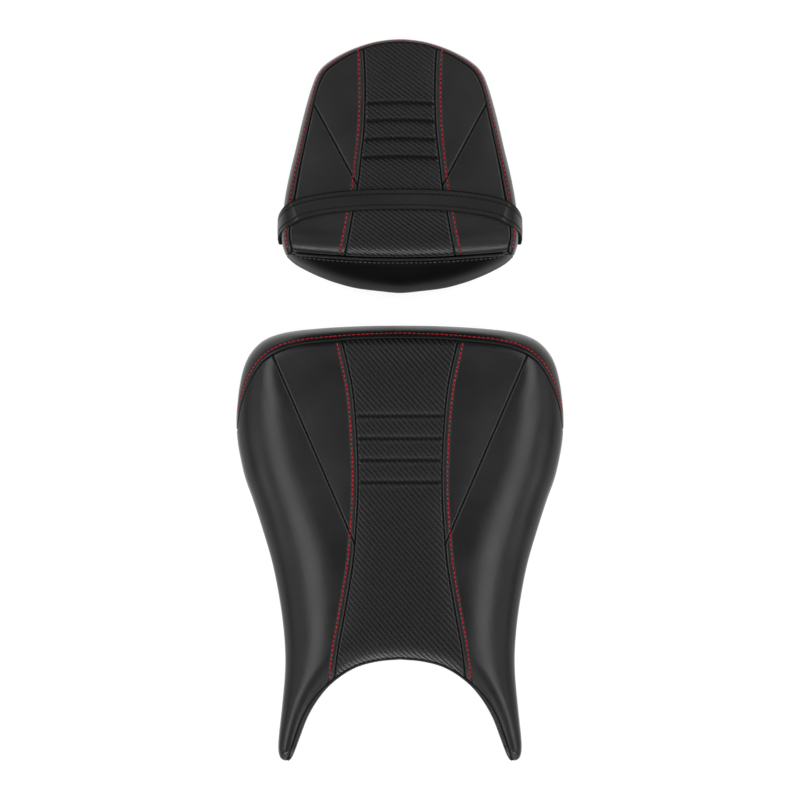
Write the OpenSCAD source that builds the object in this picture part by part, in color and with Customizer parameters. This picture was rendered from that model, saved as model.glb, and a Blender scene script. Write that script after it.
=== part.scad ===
// Two-piece sport motorcycle seat: a rider seat with tank horns, and a pillion seat with a grab strap.
// Millimetres. +Z is up, -Y points to the front of the motorcycle and +X to the rider's left.
// Both seats stand on their rubber bumpers at z = 0.

/* [Rider seat] */
// Width across the rear bolster
rider_w = 327; // [300:1:350]
// Length from the rear edge to the tips of the horns
rider_l = 435; // [400:5:460]
// Extra height of the rider cushion
rider_lift = 0; // [-6:1:20]
// Distance between the two front bolts
rider_bolt_spacing = 168; // [160:2:176]

/* [Pillion seat] */
// Width across the side bands
pillion_w = 240; // [225:1:255]
// Length from the rear edge to the lip of the front skirt
pillion_l = 254; // [240:2:270]
// Extra height of the pillion cushion
pillion_lift = 0; // [-6:1:20]
// Free distance between the two seats as they are laid out
seat_gap = 33; // [20:1:60]

/* [Grab strap] */
// Width of the strap
strap_w = 21; // [16:1:26]
// Thickness of the strap
strap_t = 2.5; // [2:0.5:4]

/* [Covers and foam] */
// Thickness of the vinyl with its foam backing
cover_t = 2; // [1.5:0.5:3]
// Width of the cover's edge that is turned under the pan
hem_w = 14; // [10:1:16]

/* [Base pans and hardware] */
// Thickness of the moulded base pans
pan_t = 3; // [2.5:0.5:4]
// Height of the rubber bumpers, from the ground to the pan
bumper_h = 16; // [14:1:20]
// Radius of the M6 bolts
bolt_r = 3; // [2.5:0.5:4]

/* [Hidden] */

vinyl = [0.09, 0.09, 0.095];
carbon_vinyl = [0.07, 0.07, 0.075];
red_thread = [0.75, 0.08, 0.12];
foam_yellow = [0.85, 0.78, 0.55];
pan_black = [0.04, 0.04, 0.04];
steel = [0.72, 0.73, 0.75];

pan_z = bumper_h;
foam_z = pan_z + pan_t + 0.2;
hem_t = 1.6;
hem_gap = 0.2;
foam_gap = 1.3;
hole_clearance = 0.1;
$fn = 48;

// ---- Curves ----------------------------------------------------------------------------------

function mix(a, b, t) = a + (b - a) * t;
function stretch(pts, sx, sy) = [for (p = pts) [p.x * sx, p.y * sy]];
function shift(pts, dy) = [for (p = pts) [p.x, p.y + dy]];
function flip(pts) = [for (i = [len(pts) - 1:-1:0]) pts[i]];

// A point of the smooth curve through pts, where q counts control points.
function spline(pts, q) =
    let (n = len(pts) - 1, i = min(floor(q), n - 1), t = q - i,
        p0 = pts[max(i - 1, 0)], p1 = pts[i], p2 = pts[i + 1], p3 = pts[min(i + 2, n)])
    0.5 * (2 * p1 + (p2 - p0) * t + (2 * p0 - 5 * p1 + 4 * p2 - p3) * t * t
        + (3 * p1 - p0 - 3 * p2 + p3) * t * t * t);

// The curve as dense points, with per points in each stretch between control points.
function dense(pts, per = 5) =
    [for (k = [0:(len(pts) - 1) * per]) spline(pts, k / per)];

function lengths(q, i = 0, sums = [0]) =
    i == len(q) - 1 ? sums : lengths(q, i + 1, concat(sums, sums[i] + norm(q[i + 1] - q[i])));

// A path is two tables that give x and y for each share of the curve's length.
function path(q) =
    let (sums = lengths(q), whole = sums[len(sums) - 1])
    [for (axis = [0, 1]) [for (i = [0:len(q) - 1]) [sums[i] / whole, q[i][axis]]]];
function on(p, s) = [lookup(s, p[0]), lookup(s, p[1])];

// The share of a path at which it comes to the given y, for a path whose y falls all the way.
function share_at_y(p, y) =
    lookup(-y, [for (i = [0:len(p[1]) - 1]) [-p[1][i][1], p[1][i][0]]]);

// Distance from p to a line of points.
function to_segment(p, a, b) =
    let (t = min(max((p - a) * (b - a) / ((b - a) * (b - a)), 0), 1)) norm(p - mix(a, b, t));
function to_line(p, q) = min([for (i = [0:len(q) - 2]) to_segment(p, q[i], q[i + 1])]);

// The plan position at shares u, v of a patch with sides a (v = 0), b (v = 1), c (u = 0) and d (u = 1).
function patch(a, b, c, d, u, v) =
    mix(on(a, u), on(b, u), v) + mix(on(c, v), on(d, v), u)
    - mix(mix(on(a, 0), on(a, 1), u), mix(on(b, 0), on(b, 1), u), v);

// How far the cushion's surface has dropped at distance d from its edge, over a roll r wide and h high.
function roll(d, r, h) = d >= r ? 0 : h * (1 - sqrt(max(0, 1 - pow(1 - d / r, 2))));
// The same for an edge that is only eased, and ends on a slope.
function bevel(d, r, h) = d >= r ? 0 : h * pow(1 - d / r, 2);

// Shares that are close together at both ends, at the far end, at no end, or at the near end.
function both_ends(n) = [for (i = [0:n]) (1 - cos(180 * i / n)) / 2];
function far_end(n) = [for (i = [0:n]) sin(90 * i / n)];
function even(n) = [for (i = [0:n]) i / n];
function near_end(n) = [for (i = [0:n]) 1 - cos(90 * i / n)];

// ---- Solids from grids -----------------------------------------------------------------------

function normal_at(g, i, j) =
    let (m = len(g) - 1, n = len(g[0]) - 1,
        du = g[min(i + 1, m)][j] - g[max(i - 1, 0)][j],
        dv = g[i][min(j + 1, n)] - g[i][max(j - 1, 0)], c = cross(du, dv))
    norm(c) < 1e-9 ? [0, 0, 1] : c / norm(c);

// The grid moved by t along its normals.
function inset(g, t) =
    [for (i = [0:len(g) - 1]) [for (j = [0:len(g[0]) - 1]) g[i][j] - t * normal_at(g, i, j)]];

// The grid turned over if need be, so that its middle faces the given way.
function facing(g, way) =
    normal_at(g, floor(len(g) / 2), floor(len(g[0]) / 2)) * way < 0 ? [for (row = g) flip(row)] : g;

// The closed solid between two grids of the same size, with top outside.
module between(top, bottom) {
    m = len(top);
    n = len(top[0]);
    function at(i, j) = i * n + j;
    function below(i, j) = m * n + at(i, j);
    points = concat([for (row = top) each row], [for (row = bottom) each row]);
    faces = concat(
        [for (i = [0:m - 2], j = [0:n - 2]) each
            [[at(i, j), at(i + 1, j + 1), at(i + 1, j)], [at(i, j), at(i, j + 1), at(i + 1, j + 1)]]],
        [for (i = [0:m - 2], j = [0:n - 2]) each
            [[below(i, j), below(i + 1, j), below(i + 1, j + 1)],
             [below(i, j), below(i + 1, j + 1), below(i, j + 1)]]],
        [for (i = [0:m - 2]) each
            [[at(i, 0), at(i + 1, 0), below(i + 1, 0)], [at(i, 0), below(i + 1, 0), below(i, 0)],
             [at(i + 1, n - 1), at(i, n - 1), below(i, n - 1)],
             [at(i + 1, n - 1), below(i, n - 1), below(i + 1, n - 1)]]],
        [for (j = [0:n - 2]) each
            [[at(0, j + 1), at(0, j), below(0, j)], [at(0, j + 1), below(0, j), below(0, j + 1)],
             [at(m - 1, j), at(m - 1, j + 1), below(m - 1, j + 1)],
             [at(m - 1, j), below(m - 1, j + 1), below(m - 1, j)]]]);
    polyhedron(points, faces, convexity = 6);
}

module skin(grid, way = [0, 0, 1], t = cover_t) {
    outside = facing(grid, way);
    between(outside, inset(outside, t));
}

// A thread or cord along a list of points with their up directions: w wide, t thick and lift above them.
module ribbon(points, ups, w, t, lift) {
    n = len(points) - 1;
    sides = [for (i = [0:n]) let (along = points[min(i + 1, n)] - points[max(i - 1, 0)],
        side = cross(along, ups[i])) side / norm(side)];
    top = [for (i = [0:n]) [for (k = [1, -1]) points[i] + sides[i] * k * w / 2 + ups[i] * (lift + t)]];
    bottom = [for (i = [0:n]) [for (k = [1, -1]) points[i] + sides[i] * k * w / 2 + ups[i] * lift]];
    between(top, bottom);
}

module both_sides() {
    children();
    mirror([1, 0, 0]) children();
}

// ---- Rider seat: lines in plan, right half ---------------------------------------------------

rider_rear_y = 74;
rider_front_y = rider_rear_y - rider_l;
rider_sx = rider_w / 327;
rider_sy = rider_l / 435;
function rider_plan(pts) = shift(stretch(pts, rider_sx, rider_sy), rider_rear_y);

// The silhouette, from the middle of the rear edge round the side to the tip of the horn.
rider_rear_edge = dense(rider_plan([[0, 0], [40, -0.5], [80, -2.5], [112, -6], [133, -12.5], [146, -23],
    [155, -38], [160.5, -60], [163.5, -88], [163.5, -104]]));
rider_side_edge = dense(rider_plan([[163.5, -104], [161.5, -122], [155.5, -150], [147, -174], [137, -205],
    [127, -240], [119.5, -280], [115.5, -315], [115, -345], [118, -380], [121.3, -410], [121.8, -424],
    [120, -431.5], [116.6, -434.5], [112.5, -435]]), 4);
// The edge that faces the tank, from its middle to the tip of the horn.
rider_tank_edge = dense(rider_plan([[0, -333], [22, -335], [44, -341], [64, -353.5], [80, -371], [92, -391],
    [100.5, -413], [104.8, -424.5], [108, -431.5], [112.5, -435]]), 4);

// Seams: round the rear, along the centre panel, and the diagonal one.
rider_rear_seam = path(dense(rider_plan([[0, -11.5], [40, -12.5], [64, -14.5], [93, -17.5], [113, -22],
    [133, -32], [145, -46], [154, -64], [160, -82], [163.5, -104]])));
rider_center_seam = path(dense(rider_plan([[58, -14], [51.5, -42], [47, -66], [44, -98], [42, -136],
    [42, -166], [43, -188], [46.5, -232], [51, -262], [57, -296], [62, -324], [65, -354.3]])));
rider_diagonal_y = -218 * rider_sy + rider_rear_y;

rider_side_path = path(rider_side_edge);
rider_rear_path = path(rider_rear_edge);
rider_tank_path = path(rider_tank_edge);
rider_silhouette = concat(rider_rear_edge, rider_side_edge);
rider_outline = concat(rider_silhouette, flip(rider_tank_edge));

// ---- Rider seat: heights ---------------------------------------------------------------------

// Height of the crown along the centre line, from the tips of the horns to the rear edge.
rider_crown = dense([[-365, 46], [-310, 50], [-260, 53], [-200, 55], [-140, 58], [-80, 65], [-30, 75],
    [10, 83], [40, 86], [62, 85], [80, 82]], 3);
// Width and height of the roll at the outer edge, by y.
rider_roll_w = [[-361, 30], [-300, 42], [-240, 56], [-160, 62], [-100, 56], [-40, 40], [0, 30], [40, 21],
    [74, 18]];
rider_roll_h = [[-361, 13], [-300, 20], [-240, 28], [-160, 32], [-40, 38], [74, 38]];
rider_cross_crown = 0.0003;
tank_bevel_w = 24;
tank_bevel_h = 10;

function rider_z(p) =
    let (q = [abs(p.x), p.y])
    rider_lift + lookup(q.y, rider_crown) - rider_cross_crown * q.x * q.x
    - roll(to_line(q, rider_silhouette), lookup(q.y, rider_roll_w), lookup(q.y, rider_roll_h))
    - bevel(to_line(q, rider_tank_edge), tank_bevel_w, tank_bevel_h);
function rider_on(p) = [p.x, p.y, rider_z(p)];

// The wall below the last point of a row of surface points, down to z.
function wall(p, z, steps = 2) = [for (k = [1:steps]) [p.x, p.y, mix(p.z, z, k / steps)]];

// ---- Rider seat: covers ----------------------------------------------------------------------

seam_share = 0.006; // what each panel keeps clear of its seams, as a share of its own width
function inside(shares, e = seam_share) = [for (s = shares) mix(e, 1 - e, s)];
// The same, for a panel whose far end is the outer edge.
function inside_near(shares, e = seam_share) = [for (s = shares) mix(e, 1, s)];

// The part of a path between two shares, as a path of its own.
function part_of(p, a, b, n = 24) = path([for (i = [0:n]) on(p, mix(a, b, i / n))]);
function straight(a, b) = path([a, b]);

rider_wedge_share = 0.6; // where the diagonal seam leaves the rear seam
rider_wedge_corner = on(rider_rear_seam, rider_wedge_share);
rider_center_share = share_at_y(rider_center_seam, rider_diagonal_y);
rider_center_corner = on(rider_center_seam, rider_center_share);
// The share of the rear seam, and of the tank edge, at which the centre seam meets it.
function share_at_x(p, x) = lookup(x, [for (i = [0:len(p[0]) - 1]) [p[0][i][1], p[0][i][0]]]);
rider_seam_start = share_at_x(rider_rear_seam, on(rider_center_seam, 0).x);
rider_seam_end = share_at_x(rider_tank_path, on(rider_center_seam, 1).x);

module rider_center_panel() {
    left = [for (s = inside(both_ends(22), 0.004)) on(rider_center_seam, s)];
    rows = [for (i = [0:len(left) - 1]) let (s = i / (len(left) - 1)) [for (k = [4:-1:-4])
        let (u = k / 4 * (1 - 2 * seam_share), x = left[i].x * u,
            rear = on(rider_rear_seam, rider_seam_start * abs(u)).y - left[0].y - 0.8,
            tank = on(rider_tank_path, rider_seam_end * abs(u)).y - left[len(left) - 1].y + 0.4,
            y = left[i].y + rear * pow(1 - s, 2) + tank * pow(s, 2))
        rider_on([x, y])]];
    color(carbon_vinyl) skin(rows);
}

module rider_wedge() {
    top = part_of(rider_rear_seam, rider_seam_start, rider_wedge_share);
    tip = 0.985;
    inner = part_of(rider_center_seam, 0, rider_center_share * tip);
    outer = straight(rider_wedge_corner, mix(rider_wedge_corner, rider_center_corner, tip));
    bottom = straight(on(inner, 1), on(outer, 1));
    skin([for (v = inside(near_end(14), 0.008)) [for (u = inside(even(6), 0.015))
        rider_on(patch(top, bottom, inner, outer, 1 - u, v))]]);
}
module rider_wedge_left() { color(vinyl) rider_wedge(); }
module rider_wedge_right() { color(vinyl) mirror([1, 0, 0]) rider_wedge(); }

module rider_side() {
    inner = path(concat([for (k = [0:6]) mix(rider_wedge_corner, rider_center_corner, k / 6)],
        [for (k = [1:8]) on(rider_center_seam, mix(rider_center_share, 1, k / 8))]));
    top = part_of(rider_rear_seam, rider_wedge_share, 1);
    bottom = part_of(rider_tank_path, rider_seam_end, 1);
    rows = [for (v = inside(both_ends(24), 0.003)) let (
        row = [for (u = inside_near(far_end(8))) rider_on(patch(top, bottom, inner, rider_side_path, u, v))])
        concat(row, wall(row[len(row) - 1], pan_z))];
    skin(rows);
}
module rider_side_left() { color(vinyl) rider_side(); }
module rider_side_right() { color(vinyl) mirror([1, 0, 0]) rider_side(); }

module rider_rear_band() {
    last = 0.996;
    shares = [for (k = [16:-1:-16]) k / 16 * last];
    rows = [for (s = shares) let (a = on(rider_rear_seam, abs(s)), b = on(rider_rear_path, abs(s)),
        turn = s < 0 ? -1 : 1,
        row = [for (u = far_end(4)) let (p = mix(a, b, mix(0.06, 1, u))) rider_on([p.x * turn, p.y])])
        concat(row, wall(row[len(row) - 1], pan_z))];
    color(vinyl) skin(rows);
}

module rider_front_facing() {
    shares = [for (k = [18:-1:-18]) k / 18 * 0.96];
    rows = [for (s = shares) let (p = on(rider_tank_path, abs(s)), top = rider_z(p) - 1.2)
        [for (z = [pan_z, mix(pan_z, top, 0.5), top]) [p.x * sign(s), p.y, z]]];
    color(vinyl) skin(rows, [0, -1, 0]);
}

// ---- Foam ------------------------------------------------------------------------------------

foam_in = cover_t + foam_gap;

// A line of plan points moved to the right of the way it runs, or to the left where away is negative.
function beside(q, away) =
    [for (i = [0:len(q) - 1]) let (t = q[min(i + 1, len(q) - 1)] - q[max(i - 1, 0)],
        p = q[i] + [t.y, -t.x] / norm(t) * away) [i == 0 && q[0].x == 0 ? 0 : p.x, p.y]];

// The points of a line that lie behind a front point, and then that point.
function until(q, tip) = concat([for (p = q) if (p.y > tip.y + 3) p], [tip]);

// A foam surface as a grid between a rear line, a side line and a front line, from left to right.
function foam_top(rear, side, front, cols, rows, seat) =
    let (middle = straight(rear[0], front[0]), a = path(rear), b = path(front), c = path(side),
        across = concat(flip(far_end(cols)), [for (s = far_end(cols)) if (s > 0) -s]))
    [for (v = both_ends(rows)) [for (u = across) let (q = patch(a, b, middle, c, abs(u), v),
        p = [q.x * sign(u), q.y], z = seat == "rider" ? rider_z(p) : pillion_z(p))
        [p.x, p.y, max(z - foam_in / up_at(p, seat).z, foam_z + 0.5)]]];

function grounded(row) = [for (p = row) [p.x, p.y, foam_z]];

rider_foam_tip = rider_plan([[113.5, -427]])[0];

module rider_foam() {
    top = foam_top(beside(rider_rear_edge, foam_in), until(beside(rider_side_edge, foam_in), rider_foam_tip),
        until(beside(rider_tank_edge, -foam_in), rider_foam_tip), 9, 24, "rider");
    color(foam_yellow) between(top, [for (row = top) grounded(row)]);
}

// ---- Stitching -------------------------------------------------------------------------------

// A row of topstitching along a path, at its own distance from the seam.
module topstitch(p, away, first, last, n, seat) {
    line = [for (i = [0:n]) let (s = mix(first, last, i / n), a = on(p, s),
        t = on(p, min(s + 0.01, 1)) - on(p, max(s - 0.01, 0)), side = [-t.y, t.x] / norm(t))
        a + side * away];
    points = [for (q = line) seat == "rider" ? rider_on(q) : pillion_on(q)];
    ups = [for (q = line) up_at(q, seat)];
    color(red_thread) ribbon(points, ups, 0.9, 0.6, 0.15);
}

// The direction of the surface's normal above plan point q.
function up_at(q, seat, e = 0.5) =
    let (h = function (p) seat == "rider" ? rider_z(p) : pillion_z(p),
        dx = (h(q + [e, 0]) - h(q - [e, 0])) / (2 * e), dy = (h(q + [0, e]) - h(q - [0, e])) / (2 * e),
        n = [-dx, -dy, 1])
    n / norm(n);

stitch_away = 5.5;

module rider_center_stitching() {
    both_sides() topstitch(rider_center_seam, stitch_away, 0.012, 0.985, 30, "rider");
}

module rider_rear_stitching() {
    both_sides() topstitch(rider_rear_seam, stitch_away, 0, 0.86, 24, "rider");
}

// ---- Base pans, hems, staples, bumpers -------------------------------------------------------

module both_halves(half) {
    polygon(half);
    polygon([for (p = flip(half)) [-p.x, p.y]]);
}

module rider_shape(in) { offset(delta = -in) both_halves(rider_outline); }
module pillion_shape(in) { offset(delta = -in) both_halves(pillion_outline); }

pan_in = cover_t + 0.8;
rib_w = 2.5;
rib_h = 4;

// Ribs under a pan: lines along x and along y, kept inside the turned-under hem.
module rib_grid(xs, ys, reach) {
    for (x = xs) for (turn = x == 0 ? [1] : [-1, 1])
        translate([x * turn - rib_w / 2, -reach]) square([rib_w, 2 * reach]);
    for (y = ys) translate([-reach, y - rib_w / 2]) square([2 * reach, rib_w]);
}

rider_bumper_at = [[96, 22], [62, -100], [74, -178]];
rider_bracket_at = [rider_bolt_spacing / 2, -234];
rider_tongue_y = 34;
pad_r = 15;
nut_pocket_r = 8;
screw_r = 2;
drain_r = 4;

module rider_base_pan() {
    keep_out = 22;
    color(pan_black) {
        difference() {
            translate([0, 0, pan_z]) linear_extrude(pan_t) rider_shape(pan_in);
            both_sides() {
                translate([rider_bracket_at.x, rider_bracket_at.y, pan_z - 1])
                    cylinder(r = nut_pocket_r, h = pan_t + 2);
                for (p = bracket_screws()) translate([p.x, p.y, pan_z - 1])
                    cylinder(r = screw_r + hole_clearance, h = pan_t + 2);
                translate([22, -40, pan_z - 1]) cylinder(r = drain_r, h = pan_t + 2);
            }
            for (p = tongue_screws()) translate([p.x, p.y, pan_z - 1])
                cylinder(r = screw_r + hole_clearance, h = pan_t + 2);
        }
        translate([0, 0, pan_z - rib_h]) linear_extrude(rib_h) difference() {
            intersection() {
                rider_shape(keep_out);
                rib_grid([0, 40, 84, 122], [50, 0, -60, -140, -180, -225], 400);
            }
            both_sides() {
                for (p = rider_bumper_at) translate(p) circle(pad_r);
                translate(rider_bracket_at) square([46, 68], center = true);
                translate([22, -40]) circle(drain_r + 3);
            }
            translate([0, rider_tongue_y - 2]) square([96, 52], center = true);
        }
        both_sides() for (p = rider_bumper_at) translate([p.x, p.y, pan_z - 2]) difference() {
            cylinder(r = pad_r, h = 2);
            translate([0, 0, -1]) cylinder(r = bumper_r + hole_clearance, h = 4);
        }
    }
}

module hem(z) {
    color(vinyl) translate([0, 0, z]) linear_extrude(hem_t) difference() {
        children(0);
        children(1);
    }
}
hem_z = pan_z - hem_gap - hem_t;
module rider_hem() { hem(hem_z) { rider_shape(0.3); rider_shape(hem_w); } }

// Staples lie across the hem, each square to the edge, along lines of points.
module staples(lines, in) {
    length = 9;
    wire = 0.7;
    color(steel) both_sides() for (entry = lines) let (p = entry[0]) for (s = entry[1]) let (
        a = on(p, s), t = on(p, min(s + 0.01, 1)) - on(p, max(s - 0.01, 0)), angle = atan2(t.y, t.x),
        q = a + [t.y, -t.x] / norm(t) * in * entry[2])
        translate([q.x, q.y, hem_z - wire]) rotate(angle) translate([-length / 2, -wire / 2, 0])
            cube([length, wire, wire]);
}

module rider_staples() {
    staples([[rider_rear_path, [for (k = [0.5:1:10]) k / 10.5], 1],
        [rider_side_path, [for (k = [0.5:1:11]) k / 14], 1],
        [rider_tank_path, [for (k = [0.6:1:5]) k / 8], -1]], 8);
}

bumper_r = 11;
module bumper() {
    rotate_extrude() polygon([[0, 0], [bumper_r - 3.5, 0], [bumper_r - 2, 1.5], [bumper_r - 1, 8],
        [bumper_r - 1, bumper_h - 3], [bumper_r, bumper_h - 3], [bumper_r, bumper_h], [0, bumper_h]]);
}
module bumpers(places) { color([0.05, 0.05, 0.05]) both_sides() for (p = places) translate(p) bumper(); }
module rider_bumpers() { bumpers(rider_bumper_at); }

// ---- Rider seat hardware ---------------------------------------------------------------------

bracket_t = 3;
nut_h = 5;
screw_head_r = 4;
screw_head_h = 2.2;

function bracket_screws() = [for (dy = [-23, 23]) rider_bracket_at + [0, dy]];
function tongue_screws() = [for (x = [-34, 34]) [x, rider_tongue_y - 12]];

module rounded_plate(w, l, r, t) {
    linear_extrude(t) hull() for (x = [-1, 1], y = [-1, 1])
        translate([x * (w / 2 - r), y * (l / 2 - r)]) circle(r);
}

module rider_bracket() {
    color(steel) translate([rider_bracket_at.x, rider_bracket_at.y, pan_z - bracket_t]) difference() {
        translate([-13, -30, 0]) cube([26, 60, bracket_t]);
        translate([0, 0, -1]) cylinder(r = bolt_r, h = bracket_t + 2);
        for (dy = [-23, 23]) translate([0, dy, -1]) cylinder(r = screw_r + hole_clearance, h = bracket_t + 2);
    }
}
module rider_bracket_left() { rider_bracket(); }
module rider_bracket_right() { mirror([1, 0, 0]) rider_bracket(); }

module rider_weld_nuts() {
    color(steel) both_sides() translate([rider_bracket_at.x, rider_bracket_at.y, pan_z]) difference() {
        cylinder(r = 5.8, h = pan_t, $fn = 6);
        translate([0, 0, -1]) cylinder(r = bolt_r, h = nut_h + 2);
    }
}

// A pan-head screw that hangs head down, with its head's top face at z = 0.
module screw(grip) {
    cylinder(r = screw_r, h = grip);
    translate([0, 0, -screw_head_h]) cylinder(r = screw_head_r, h = screw_head_h);
}

module rider_bracket_screws() {
    color(steel) {
        both_sides() for (p = bracket_screws()) translate([p.x, p.y, pan_z - bracket_t])
            screw(bracket_t + pan_t);
        for (p = tongue_screws()) translate([p.x, p.y, pan_z - bracket_t]) screw(bracket_t + pan_t);
    }
}

// The tongue is a stepped steel strip: a flat pad on the pan, a step down, and a blade that points rearward.
tongue_drop = 9;
module rider_rear_tongue() {
    color(steel) translate([0, rider_tongue_y, pan_z]) difference() {
        union() {
            translate([-44, -20, -bracket_t]) cube([88, 18, bracket_t]);
            translate([-30, -5, -tongue_drop - bracket_t]) cube([60, 3, tongue_drop + bracket_t]);
            translate([-30, -5, -tongue_drop - bracket_t]) cube([60, 34, bracket_t]);
        }
        for (x = [-34, 34]) translate([x, -12, -bracket_t - 1])
            cylinder(r = screw_r + hole_clearance, h = bracket_t + 2);
    }
}

// ---- Pillion seat: lines in plan, right half -------------------------------------------------

pillion_front_y = rider_rear_y + seat_gap;
pillion_sx = pillion_w / 240;
pillion_sy = pillion_l / 254;
function pillion_plan(pts) = shift(stretch(pts, pillion_sx, pillion_sy), pillion_front_y);

// The silhouette, from the middle of the rear edge down the side to the front corner.
pillion_side_edge = dense(pillion_plan([[0, 254], [24, 251.5], [45, 245], [60, 238], [73, 230], [81, 222],
    [86.5, 211], [92.5, 190], [98.5, 166], [104, 142], [110, 118], [115.8, 90], [118.6, 66], [118, 50],
    [114, 37]]), 4);
// The lower edge of the front skirt, from its middle to the front corner.
pillion_skirt_edge = dense(pillion_plan([[0, 0], [39, 4], [62, 9.5], [80, 16], [95, 23], [106, 29.5],
    [114, 37]]), 4);
// Seams: along the side band, along the front edge, and beside the centre panel.
pillion_band_seam = path(dense(pillion_plan([[0, 250.5], [18, 249], [34, 245], [50, 238], [66, 228], [74, 221],
    [80, 211], [85, 196], [90, 172], [96.5, 142], [102.5, 110], [108, 78], [110.5, 58], [107.5, 40.5]])));
pillion_front_seam = path(dense(pillion_plan([[0, 34.5], [30, 35], [60, 36.5], [90, 38.7], [107.5, 40.5]])));
pillion_center_seam = path(dense(pillion_plan([[36.5, 244.5], [35.2, 222], [34.8, 194], [36, 162],
    [38.5, 139], [42, 109], [49, 69], [53.5, 45], [55, 36.2]])));

pillion_side_path = path(pillion_side_edge);
pillion_skirt_path = path(pillion_skirt_edge);
pillion_outline = concat(pillion_side_edge, flip(pillion_skirt_edge));

// ---- Pillion seat: heights -------------------------------------------------------------------

// Height of the crown along the centre line, from the front seam to the rear edge.
pillion_crown = dense([[100, 80], [135, 81], [165, 82], [200, 81], [250, 77], [300, 73], [340, 70],
    [370, 69]], 3);
pillion_roll_w = [[140, 12], [180, 12.5], [300, 10.5], [335, 8], [361, 6]];
pillion_roll_h = 18;
pillion_front_roll_w = 26;
pillion_front_roll_h = 15;
pillion_cross_crown = 0.00045;

// The front seam's own points, for the roll above it.
pillion_front_line = [for (k = [0:10]) on(pillion_front_seam, k / 10)];

function pillion_z(p) =
    let (q = [abs(p.x), p.y])
    pillion_lift + lookup(q.y, pillion_crown) - pillion_cross_crown * q.x * q.x
    - roll(to_line(q, pillion_side_edge), lookup(q.y, pillion_roll_w), pillion_roll_h)
    - roll(to_line(q, pillion_front_line), pillion_front_roll_w, pillion_front_roll_h);
function pillion_on(p) = [p.x, p.y, pillion_z(p)];

// ---- Pillion seat: covers --------------------------------------------------------------------

pillion_wedge_share = share_at_y(pillion_band_seam, pillion_front_y + 189 * pillion_sy);
pillion_wedge_corner = on(pillion_band_seam, pillion_wedge_share);
pillion_center_share = share_at_y(pillion_center_seam, pillion_front_y + 107 * pillion_sy);
pillion_center_corner = on(pillion_center_seam, pillion_center_share);
pillion_seam_start = share_at_x(pillion_band_seam, on(pillion_center_seam, 0).x);
pillion_seam_end = share_at_x(pillion_front_seam, on(pillion_center_seam, 1).x);

module pillion_center_panel() {
    left = [for (s = inside(both_ends(16))) on(pillion_center_seam, s)];
    last = len(left) - 1;
    rows = [for (i = [0:last]) let (s = i / last) [for (k = [4:-1:-4])
        let (u = k / 4 * (1 - 2 * seam_share), x = left[i].x * u,
            rear = on(pillion_band_seam, pillion_seam_start * abs(u)).y - left[0].y - 0.8,
            front = on(pillion_front_seam, pillion_seam_end * abs(u)).y - left[last].y + 0.8,
            y = left[i].y + rear * pow(1 - s, 2) + front * pow(s, 2))
        pillion_on([x, y])]];
    color(carbon_vinyl) skin(rows);
}

module pillion_wedge() {
    tip = 0.97;
    top = part_of(pillion_band_seam, pillion_seam_start, pillion_wedge_share);
    inner = part_of(pillion_center_seam, 0, pillion_center_share * tip);
    outer = straight(pillion_wedge_corner, mix(pillion_wedge_corner, pillion_center_corner, tip));
    bottom = straight(on(inner, 1), on(outer, 1));
    skin([for (v = inside(near_end(12), 0.01)) [for (u = inside(even(6), 0.015))
        pillion_on(patch(top, bottom, inner, outer, 1 - u, v))]]);
}
module pillion_wedge_left() { color(vinyl) pillion_wedge(); }
module pillion_wedge_right() { color(vinyl) mirror([1, 0, 0]) pillion_wedge(); }

// The outer panel's inner side is the diagonal seam, then the centre seam down to the front.
module pillion_outer() {
    inner = path(concat([for (k = [0:5]) mix(pillion_wedge_corner, pillion_center_corner, k / 5)],
        [for (k = [1:5]) on(pillion_center_seam, mix(pillion_center_share, 1, k / 5))]));
    outer = part_of(pillion_band_seam, pillion_wedge_share, 1);
    bottom = part_of(pillion_front_seam, pillion_seam_end, 1);
    tip = 0.03;
    top = straight(on(inner, tip), on(outer, tip));
    skin([for (v = inside(both_ends(14), 0.005)) [for (u = inside(both_ends(7), 0.008))
        pillion_on(patch(top, bottom, part_of(inner, tip, 1), part_of(outer, tip, 1), 1 - u, v))]]);
}
module pillion_outer_left() { color(vinyl) pillion_outer(); }
module pillion_outer_right() { color(vinyl) mirror([1, 0, 0]) pillion_outer(); }

module pillion_side_band() {
    shares = [for (k = [20:-1:-20]) k / 20 * 0.985];
    rows = [for (s = shares) let (a = on(pillion_band_seam, abs(s)), b = on(pillion_side_path, abs(s)),
        turn = s < 0 ? -1 : 1,
        row = [for (u = far_end(4)) let (p = mix(a, b, mix(0.06, 1, u))) pillion_on([p.x * turn, p.y])])
        concat(row, wall(row[len(row) - 1], pan_z))];
    color(vinyl) skin(rows);
}

// The skirt falls gently from just under the front seam, then steeply to the lip of the pan.
skirt_top_drop = 3.5;
skirt_lip = 1.5;
skirt_gentle = 0.56;
function skirt_fall(k) = skirt_gentle * k + (1 - skirt_gentle) * pow(k, 5);
module pillion_front_skirt() {
    shares = [for (k = [12:-1:-12]) k / 12 * 0.975];
    rows = [for (s = shares) let (a = on(pillion_front_seam, abs(s)), b = on(pillion_skirt_path, abs(s)),
        turn = s < 0 ? -1 : 1, z = pillion_z(a) - skirt_top_drop)
        [for (k = [0, 0.25, 0.5, 0.7, 0.85, 1]) let (p = mix(a, b, k))
            [p.x * turn, p.y, mix(z, pan_z + skirt_lip, skirt_fall(k))]]];
    color(vinyl) skin(rows, [0, -1, 1]);
}

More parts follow.
